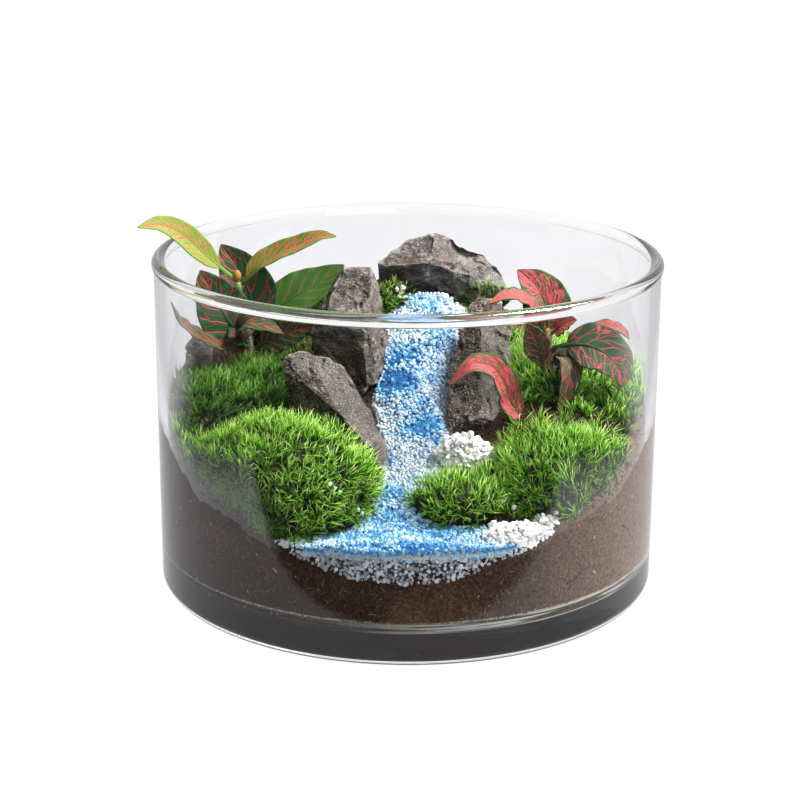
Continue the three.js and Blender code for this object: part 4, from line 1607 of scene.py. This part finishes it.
@dataclass(frozen=True)
class Curve:
    """A centripetal curve through points in millimetres."""

    points: tuple[Point, ...]

    def at(self, t: float) -> Vector:
        """Gives the place at a share of its points, in millimetres.

        Args:
            t: From 0 to 1, with equal shares between two points.

        Returns:
            The place.
        """
        p = [Vector(q) for q in self.points]
        p = [2 * p[0] - p[1], *p, 2 * p[-1] - p[-2]]
        spans = len(self.points) - 1
        k = min(int(t * spans), spans - 1)
        w = t * spans - k
        a, b, c, d = p[k : k + 4]
        ab, bc, cd = (max((y - x).length ** 0.5, 1e-4) for x, y in ((a, b), (b, c), (c, d)))
        go = ((b - a) / ab - (c - a) / (ab + bc) + (c - b) / bc) * bc
        end = ((c - b) / bc - (d - b) / (bc + cd) + (d - c) / cd) * bc
        return b + go * w + (3 * (c - b) - 2 * go - end) * w * w + (2 * (b - c) + go + end) * w**3

    def heading(self, t: float) -> Vector:
        """Gives the direction at a share of its points."""
        return (self.at(min(1.0, t + 0.001)) - self.at(max(0.0, t - 0.001))).normalized()


@dataclass(frozen=True)
class Stem:
    """A nerve plant's stem with its joints, its bud and its down. Sizes in millimetres."""

    side: str
    path: tuple[Point, ...]
    bud: Point
    bud_size: Point
    finish: DownyStem
    radius: float = 1.25
    joints: tuple[float, ...] = (0.05, 0.3, 0.55, 0.95)
    hairs: int = 500

    def tube(self) -> BMesh:
        """Wraps a grid round the path and closes its ends.

        Returns:
            The stem's body.
        """
        def radius(t: float) -> float:
            """Gives the radius at a share of the path, swollen at the joints."""
            swell = sum(math.exp(-(((t - joint) / 0.035) ** 2)) for joint in self.joints)
            return self.radius * (1.0 - 0.25 * t + 0.22 * swell)

        return wrapped(Curve(self.path).at, radius, 20, 60)

    def build(self) -> None:
        """Builds the stem, its bud and its hairs."""
        rng = np.random.default_rng(11)
        pile = MeshPile()
        body = self.tube()
        bmesh.ops.triangulate(body, faces=body.faces)
        points, normals = surface_samples(body, self.hairs, rng, lambda middle, normal: True)
        pile.put_body(body, 0)
        bud = bmesh.new()
        bmesh.ops.create_icosphere(bud, subdivisions=3, radius=1.0)
        wide, deep, high = self.bud_size
        for v in bud.verts:
            cleft = 1 - 0.12 * abs(math.sin(1.5 * math.atan2(v.co.y, v.co.x))) * (1 + v.co.z)
            grown = Vector((v.co.x * wide * cleft, v.co.y * deep * cleft, v.co.z * high))
            v.co = Vector(self.bud) * MM + grown * MM
        pile.put_body(bud, 2)
        n = len(points)
        ups = normals + rng.normal(0, 0.35, (n, 3))
        sizes = (0.5 + 0.5 * rng.random(n)) * MM
        hairs = Scatter(points, ups, sizes, rng.random(n), rng.normal(0, 1, (n, 3)))
        pile.put_stamps([needle(0.07, 0.06, 0.2)], hairs, 1, True)
        pile.show(f"stem_{self.side}", "downy", [
            self.finish, PlainSkin("stem_down", "#e8d9cc", "#d8c0b0", 0.5),
            PlainSkin("ochre_bud_scales", "#a98b2a", "#95452f", 0.6),
        ], self.finish.name)


@dataclass(frozen=True)
class Leaf:
    """A nerve plant's leaf on its rib. Sizes in millimetres."""

    name: str
    rib: tuple[Point, ...]
    width: float
    face: Point
    finish: NetVeinedLeaf
    cup: float = 0.25
    stalk: float = 0.14
    ruffle: float = 0.3
    pucker: float = 0.16
    columns: int = 24
    rows: int = 64

    def outline(self, t: float) -> float:
        """Gives the half width along the rib, with a slim stalk and a pointed tip.

        Args:
            t: A share of the rib.

        Returns:
            A share of the leaf's half width.
        """
        if t < self.stalk:
            return 0.14
        along = (t - self.stalk) / (1 - self.stalk)
        blade = max(0.0, math.sin(math.pi * along**0.75)) ** 0.75
        return max(0.14 * (1 - along) ** 3, blade, 0.015)

    def rise(self, u: float, t: float, half: float) -> float:
        """Gives how far the blade stands up: cupped, puckered between its veins and ruffled.

        Args:
            u: A share of the width.
            t: A share of the rib.
            half: The half width there, in millimetres.

        Returns:
            The height over the rib, in millimetres.
        """
        s = 2 * u - 1
        along = max(0.0, (t - self.stalk) / (1 - self.stalk))
        forward = along - self.finish.slope * abs(s)
        count = self.finish.side_veins * forward + 0.25 * math.copysign(1, s)
        between = min(1.0, 2.4 * abs(count % 1.0 - 0.5)) * min(1.0, 5 * abs(s)) * min(1.0, half)
        rise = self.cup * half * abs(s) ** 1.4 + self.pucker * between * (1 - abs(s) ** 6)
        return rise + self.ruffle * abs(s) ** 3 * min(1.0, half / 3) * math.sin(31 * along + 1.7 * u)

    def build(self, material: bpy.types.Material, stem: Curve) -> None:
        """Bends a fine grid to the leaf and gives it thickness and a stalk.

        Args:
            material: The leaf's material.
            stem: The stem that it grows from.
        """
        curve = Curve(self.rib)
        start = curve.at(0.0)
        root = min((stem.at(i / 60) for i in range(61)), key=lambda place: (place - start).length)

        def way(t: float) -> Vector:
            """Gives the rib's place, with its foot drawn to the stem."""
            return curve.at(t) + (root - start) * max(0.0, 1 - t / self.stalk) ** 1.5

        bm = bmesh.new()
        bmesh.ops.create_grid(bm, x_segments=self.columns, y_segments=self.rows, size=0.5, calc_uvs=True)
        layer = bm.loops.layers.uv.new("leaf")
        shares = {v: (v.co.x + 0.5, v.co.y + 0.5) for v in bm.verts}
        for face in bm.faces:
            for loop in face.loops:
                u, t = shares[loop.vert]
                loop[layer].uv = (u, (t - self.stalk) / (1 - self.stalk))
        frames = {}
        for v, (u, t) in shares.items():
            row = round(t * self.rows)
            if row not in frames:
                place, ahead = way(t), curve.heading(t)
                across = ahead.cross(Vector(self.face)).normalized()
                frames[row] = (place, across, across.cross(ahead).normalized())
            place, across, normal = frames[row]
            half = self.width / 2 * self.outline(t)
            v.co = (place + across * ((2 * u - 1) * half) + normal * self.rise(u, t, half)) * MM
        bmesh.ops.recalc_face_normals(bm, faces=bm.faces)
        bmesh.ops.solidify(bm, geom=bm.faces, thickness=0.3 * MM)
        # The stalk is round and runs on under the blade as its midrib
        stalk = wrapped(lambda t: way(0.85 * t), lambda t: self.width * (0.052 - 0.045 * t), 8, 40)
        bmesh.ops.translate(stalk, verts=stalk.verts, vec=frames[self.rows // 2][2] * (-0.12 * MM))
        joined = as_mesh(stalk, "stalk", True)
        bm.from_mesh(joined)
        bpy.data.meshes.remove(joined)
        show(as_mesh(bm, self.name, True), f"leaf_{self.name}", "veined", [material], self.finish.slot)


MOSS = LivingMoss("cushion_moss", "#091302", "#3c7a10", "#82bd2c", "#d3e98e")
# A darker copy of the moss: painted shade for the cushions at the back, in the shade of the plants and rocks
SHADED_MOSS = LivingMoss("shaded_cushion_moss", "#030801", "#193d06", "#3d6e12", "#84aa4a")
# After the colours: side veins, their width, the net's width and strength, slope, midrib and cells
LIME = NetVeinedLeaf("young_lime_leaf", "lime_leaf", "#4a8526", "#7cab42", "#d9505c", "#d26062",
                     12.0, 0.13, 0.04, 0.6, 0.17, 0.06, (1.6, 2.0))
LIME_SHADE = NetVeinedLeaf("shaded_lime_leaf", "lime_leaf", "#2d6417", "#588f2c", "#cf4452", "#c24a52",
                           12.0, 0.15, 0.05, 0.6, 0.17, 0.06, (1.6, 2.0))
GREEN = NetVeinedLeaf("dark_green_leaf", "green_leaf", "#1b3f25", "#2c5734", "#d13440", "#b8404a",
                      5.5, 0.06, 0.022, 0.7, 0.3, 0.045, (1.5, 1.3))
OLIVE = NetVeinedLeaf("olive_green_leaf", "green_leaf", "#213d17", "#3c6524", "#664c2e", "#51592c",
                      6.0, 0.08, 0.03, 0.2, 0.3, 0.04, roughness=0.4)
DARK = NetVeinedLeaf("dark_netted_leaf", "pink_leaf", "#27402c", "#3a5638", "#dd4560", "#cf4a60",
                     6.0, 0.034, 0.024, 0.8, 0.28, 0.04, (1.2, 1.9), roughness=0.65)
PINK = NetVeinedLeaf("pink_netted_leaf", "pink_leaf", "#264f27", "#3c6533", "#d63b56", "#dc4f68",
                     7.0, 0.05, 0.085, 1.0, 0.3, 0.07, (3.0, 3.6), margin=0.22)

STEMS = {
    "left": Stem("left", ((-49, 15, 54), (-49, 16, 67.5), (-51, 17, 77), (-52, 18, 87)), (-52.3, 17.6, 89.2),
                 (1.3, 1.2, 1.8), DownyStem("green_stem", "#6a4f3a", "#8fa05a", 66, 84)),
    "right": Stem("right", ((42, -8, 46), (42, -6, 57), (43, -4, 66), (42, -1, 77)), (42, -1, 77),
                  (1.3, 1.3, 1.6), DownyStem("red_stem", "#4a3626", "#8d6254", 48, 66), radius=1.5),
}

LEAVES = (
    Leaf("left_long_over_rim", (
        (-53, 17, 88.5), (-59, 15, 94), (-64, 12, 99.5), (-69, 8, 104.8), (-74, 4, 107.9),
        (-79.6, -1, 108.2),
    ), 8.5, (0.2, -0.8, 0.7), LIME, ruffle=0.1),
    Leaf("left_long_inward", (
        (-50, 17, 87), (-46.5, 18, 92), (-41, 19, 95.2), (-33, 20, 98.4), (-27, 21, 100.8), (-22, 22, 100.8),
    ), 7.0, (0, -0.6, 0.9), LIME_SHADE, cup=0.45, ruffle=0.15, stalk=0.06),
    Leaf("left_upright_back", ((-48.5, 18, 71), (-48, 21, 79), (-51.5, 24, 87.5), (-58, 28, 96.6)),
         17.0, (0.1, -1, 0.25), GREEN),
    Leaf("left_broad_left", ((-49.5, 13.5, 68.5), (-54, 11, 75.5), (-58.5, 9, 84), (-62.5, 8, 93)),
         17.0, (0.35, -1, 0.2), GREEN, cup=0.15),
    Leaf("left_broad_right", ((-48, 20, 73), (-42, 25, 76.5), (-34, 28, 81), (-27, 31, 84.5), (-20, 34, 89)),
         14.0, (-0.2, -0.8, 0.6), OLIVE, ruffle=0.15),
    Leaf("left_low_along_glass", (
        (-50, 14, 68.5), (-56, 8, 69.5), (-61, 3, 72.5), (-65, -2, 76.5), (-68.5, -7, 82), (-69.5, -11, 88),
    ), 7.5, (0.3, -0.5, 1), GREEN),
    Leaf("left_small_centre", (
        (-50, 12, 68), (-51.5, 8.5, 74), (-49, 6.5, 77.5), (-43.5, 5.5, 77), (-37.4, 5, 74.5),
    ), 9.0, (0.1, -0.5, 1), GREEN, stalk=0.05),
    Leaf("left_low_right", ((-48, 15, 66.5), (-43, 14, 69.5), (-36, 12.5, 73), (-29, 12, 75.2)),
         9.5, (0, -1, 0.3), GREEN, stalk=0.2),
    Leaf("right_top_crown", ((42.1, -1, 76.5), (42, 0, 82), (39.5, 1.5, 89), (32.8, 3, 95)),
         15.0, (0.1, -0.85, 0.5), PINK, cup=0.2, stalk=0.1),
    Leaf("right_top_left", (
        (40.5, -1.5, 78), (38, -3, 84.5), (34, -5, 88.2), (29.5, -7, 89.5), (24, -10, 88),
    ), 8.0, (-0.3, -0.5, 1), PINK, stalk=0.05),
    Leaf("right_top_right", ((43.5, -2, 77), (46, -4, 80), (50, -6, 82.5)), 8.0, (0, -0.7, 1), PINK),
    Leaf("right_dark_left", ((42, -5, 61), (40, -8, 70), (37.5, -10.5, 77), (35, -13.5, 83)),
         8.0, (0.1, -1, 0.2), DARK, stalk=0.33),
    Leaf("right_big_right", (
        (44, -4, 72.4), (49, -7, 75), (54, -9, 75.2), (59, -11, 73), (62, -14, 69.3), (63, -17, 65),
    ), 15.5, (0.15, -0.8, 0.6), DARK, cup=0.12),
    Leaf("right_behind_right", (
        (43.5, -1, 70.5), (52, 3, 75), (60, 5, 77.5), (65, 5, 76.5), (68.0, 4, 73.8),
    ), 5.0, (0, -0.5, 1), PINK),
    Leaf("right_drooping", (
        (43, -4, 68), (46.5, -8, 71.5), (48, -12, 69.5), (47, -14.5, 63.5), (44.4, -15.5, 57),
    ), 8.0, (0.5, -1, 0.2), DARK, stalk=0.08),
    Leaf("right_arching_left", (
        (40.5, -8.5, 53.5), (35, -13, 54.5), (31, -17, 59.5), (28.5, -20.5, 66.5), (24.5, -25, 73),
        (18.5, -29, 75), (12.3, -31, 69.8),
    ), 9.5, (0.2, -0.75, 0.6), PINK, stalk=0.1),
)


@dataclass(frozen=True)
class Studio:
    """The view, the soft light and the pale floor."""

    bowl: Bowl
    place: Point = (0.0, -0.5906, 0.2357)
    tilt: float = 17.402
    roll: float = 0.367
    lens: float = 91.66
    centre: Flat = (406.79, 414.13)
    frame: int = 800

    def camera(self) -> None:
        """Sets up the camera, with its centre where the view's middle lies in the frame."""
        camera = bpy.data.objects.new("camera", bpy.data.cameras.new("camera"))
        camera.data.sensor_width = 36.0
        camera.data.lens = self.lens
        camera.data.shift_x = (self.frame / 2 - self.centre[0]) / self.frame
        camera.data.shift_y = (self.centre[1] - self.frame / 2) / self.frame
        camera.matrix_world = (
            Matrix.Translation(self.place)
            @ Matrix.Rotation(math.radians(90 - self.tilt), 4, "X")
            @ Matrix.Rotation(math.radians(self.roll), 4, "Z")
        )
        bpy.context.scene.collection.objects.link(camera)
        bpy.context.scene.camera = camera

    def lamp(self, name: str, place: Point, size: float, power: float) -> None:
        """Adds a soft square lamp that looks at the bowl.

        Args:
            name: Its name.
            place: Its place, in metres.
            size: Its side, in metres.
            power: Its power in watts.
        """
        lamp = bpy.data.lights.new(name, "AREA")
        lamp.shape, lamp.size, lamp.energy = "SQUARE", size, power
        holder = bpy.data.objects.new(name, lamp)
        holder.location = place
        target = Vector((0, 0, self.bowl.height / 2 * MM))
        holder.rotation_euler = (target - Vector(place)).to_track_quat("-Z", "Y").to_euler()
        bpy.context.scene.collection.objects.link(holder)

    def world(self) -> None:
        """Surrounds the bowl with even white light, much weaker on matt surfaces."""
        world = bpy.data.worlds.new("studio")
        world.use_nodes = True
        tree = world.node_tree
        tree.nodes.clear()
        matt = add(tree, "LightPath").outputs["Is Diffuse Ray"]
        strength = add(tree, "MapRange", matt, 0.0, 1.0, 1.0, 0.3)
        add(tree, "OutputWorld", add(tree, "Background", linear("#ffffff"), strength))
        bpy.context.scene.world = world

    def floor(self) -> None:
        """Lays the white paper that the bowl stands on."""
        bm = bmesh.new()
        bmesh.ops.create_circle(bm, cap_ends=True, segments=64, radius=3.0)
        bmesh.ops.translate(bm, verts=bm.verts, vec=(0, 0, -0.2 * MM))
        mesh = as_mesh(bm, "floor", False)
        mesh.materials.append(StudioPaper().material())
        floor = bpy.data.objects.new("floor", mesh)
        bpy.context.scene.collection.objects.link(floor)

    def build(self) -> None:
        """Sets up the whole studio."""
        bpy.context.scene.view_settings.view_transform = "Standard"
        self.camera()
        self.world()
        self.lamp("key", (0.42, 0.0, 0.68), 0.35, 15.5)
        self.lamp("fill", (0.3, -0.65, 0.5), 0.5, 1.6)
        self.floor()


def nerve_plants() -> None:
    """Builds both nerve plants."""
    materials = {leaf.finish: leaf.finish.material() for leaf in LEAVES}
    for stem in STEMS.values():
        stem.build()
    for leaf in LEAVES:
        leaf.build(materials[leaf.finish], Curve(STEMS[leaf.name.split("_")[0]].path))


def main() -> None:
    """Builds every piece in order."""
    bowl = Bowl()
    parts = (
        Studio(bowl), bowl, Soil(bowl), *ROCKS,
        SandLayer("white_sand_bed", SandKind.WHITE, bowl, 21, 18000, 26000),
        SandLayer("blue_sand_run", SandKind.BLUE, bowl, 22, grain=1.65 * MM),
        SandLayer("blue_sand_pool", SandKind.BLUE, bowl, 23, paleness=0.82, seam_grains=1500),
        GravelHeap("white_gravel_pile", bowl, 31, (
            (-3.4, 39.5, 79.9), (-2.1, 39.7, 78.7), (-0.8, 39.7, 77.2), (-2.8, 39.3, 77.6),
            (-1.5, 39.4, 80.2),
        )),
        GravelHeap("white_gravel_shore", bowl, 32, (
            (-21, -56.5, 48), (-18.2, -56.2, 45.8), (-13.3, -51.2, 38.7), (-12.4, -51.4, 37.8),
            (27.1, -49.2, 40.6), (28.2, -48.6, 41.3), (30.1, -50.9, 39.6), (37.4, -57.2, 39.8),
            (41.2, -57.0, 40.3), (-20, -55.8, 46.5),
        ), 1.7 * MM, 40.5 * MM),
        MossCushion("moss_front_left", bowl, MOSS, 41, hem=(201, 247, 620)),
        MossCushion("moss_front_right", bowl, MOSS, 42),
        MossCushion("moss_back_left", bowl, SHADED_MOSS, 43, carpet=((-36, 16, 9), (-32, 3, 7))),
        MossCushion("moss_back_right", bowl, MOSS, 44, carpet=(
            (55, -19, 6), (33, 0, 6), (36, 12, 7), (62, -13, 7), (36, 27, 9), (54, 4, 10), (62, 2, 8),
            (61, -7, 7), (60, 14, 7), (65, -17, 6), (67, -10, 5), (67, -4, 5),
        )),
        MossCushion("moss_back", bowl, SHADED_MOSS, 51, length=4.0 * MM, sink=1.0 * MM),
        MossCushion("moss_tuft_left", bowl, MOSS, 61, length=3.5 * MM, sink=0.6 * MM),
        MossCushion("moss_tuft_right", bowl, MOSS, 62, length=3.5 * MM, sink=0.6 * MM),
    )
    for part in parts:
        part.build()
    nerve_plants()
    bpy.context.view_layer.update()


if __name__ == "__main__":
    logging.basicConfig(level=logging.INFO, format="%(name)s: %(message)s")
    main()
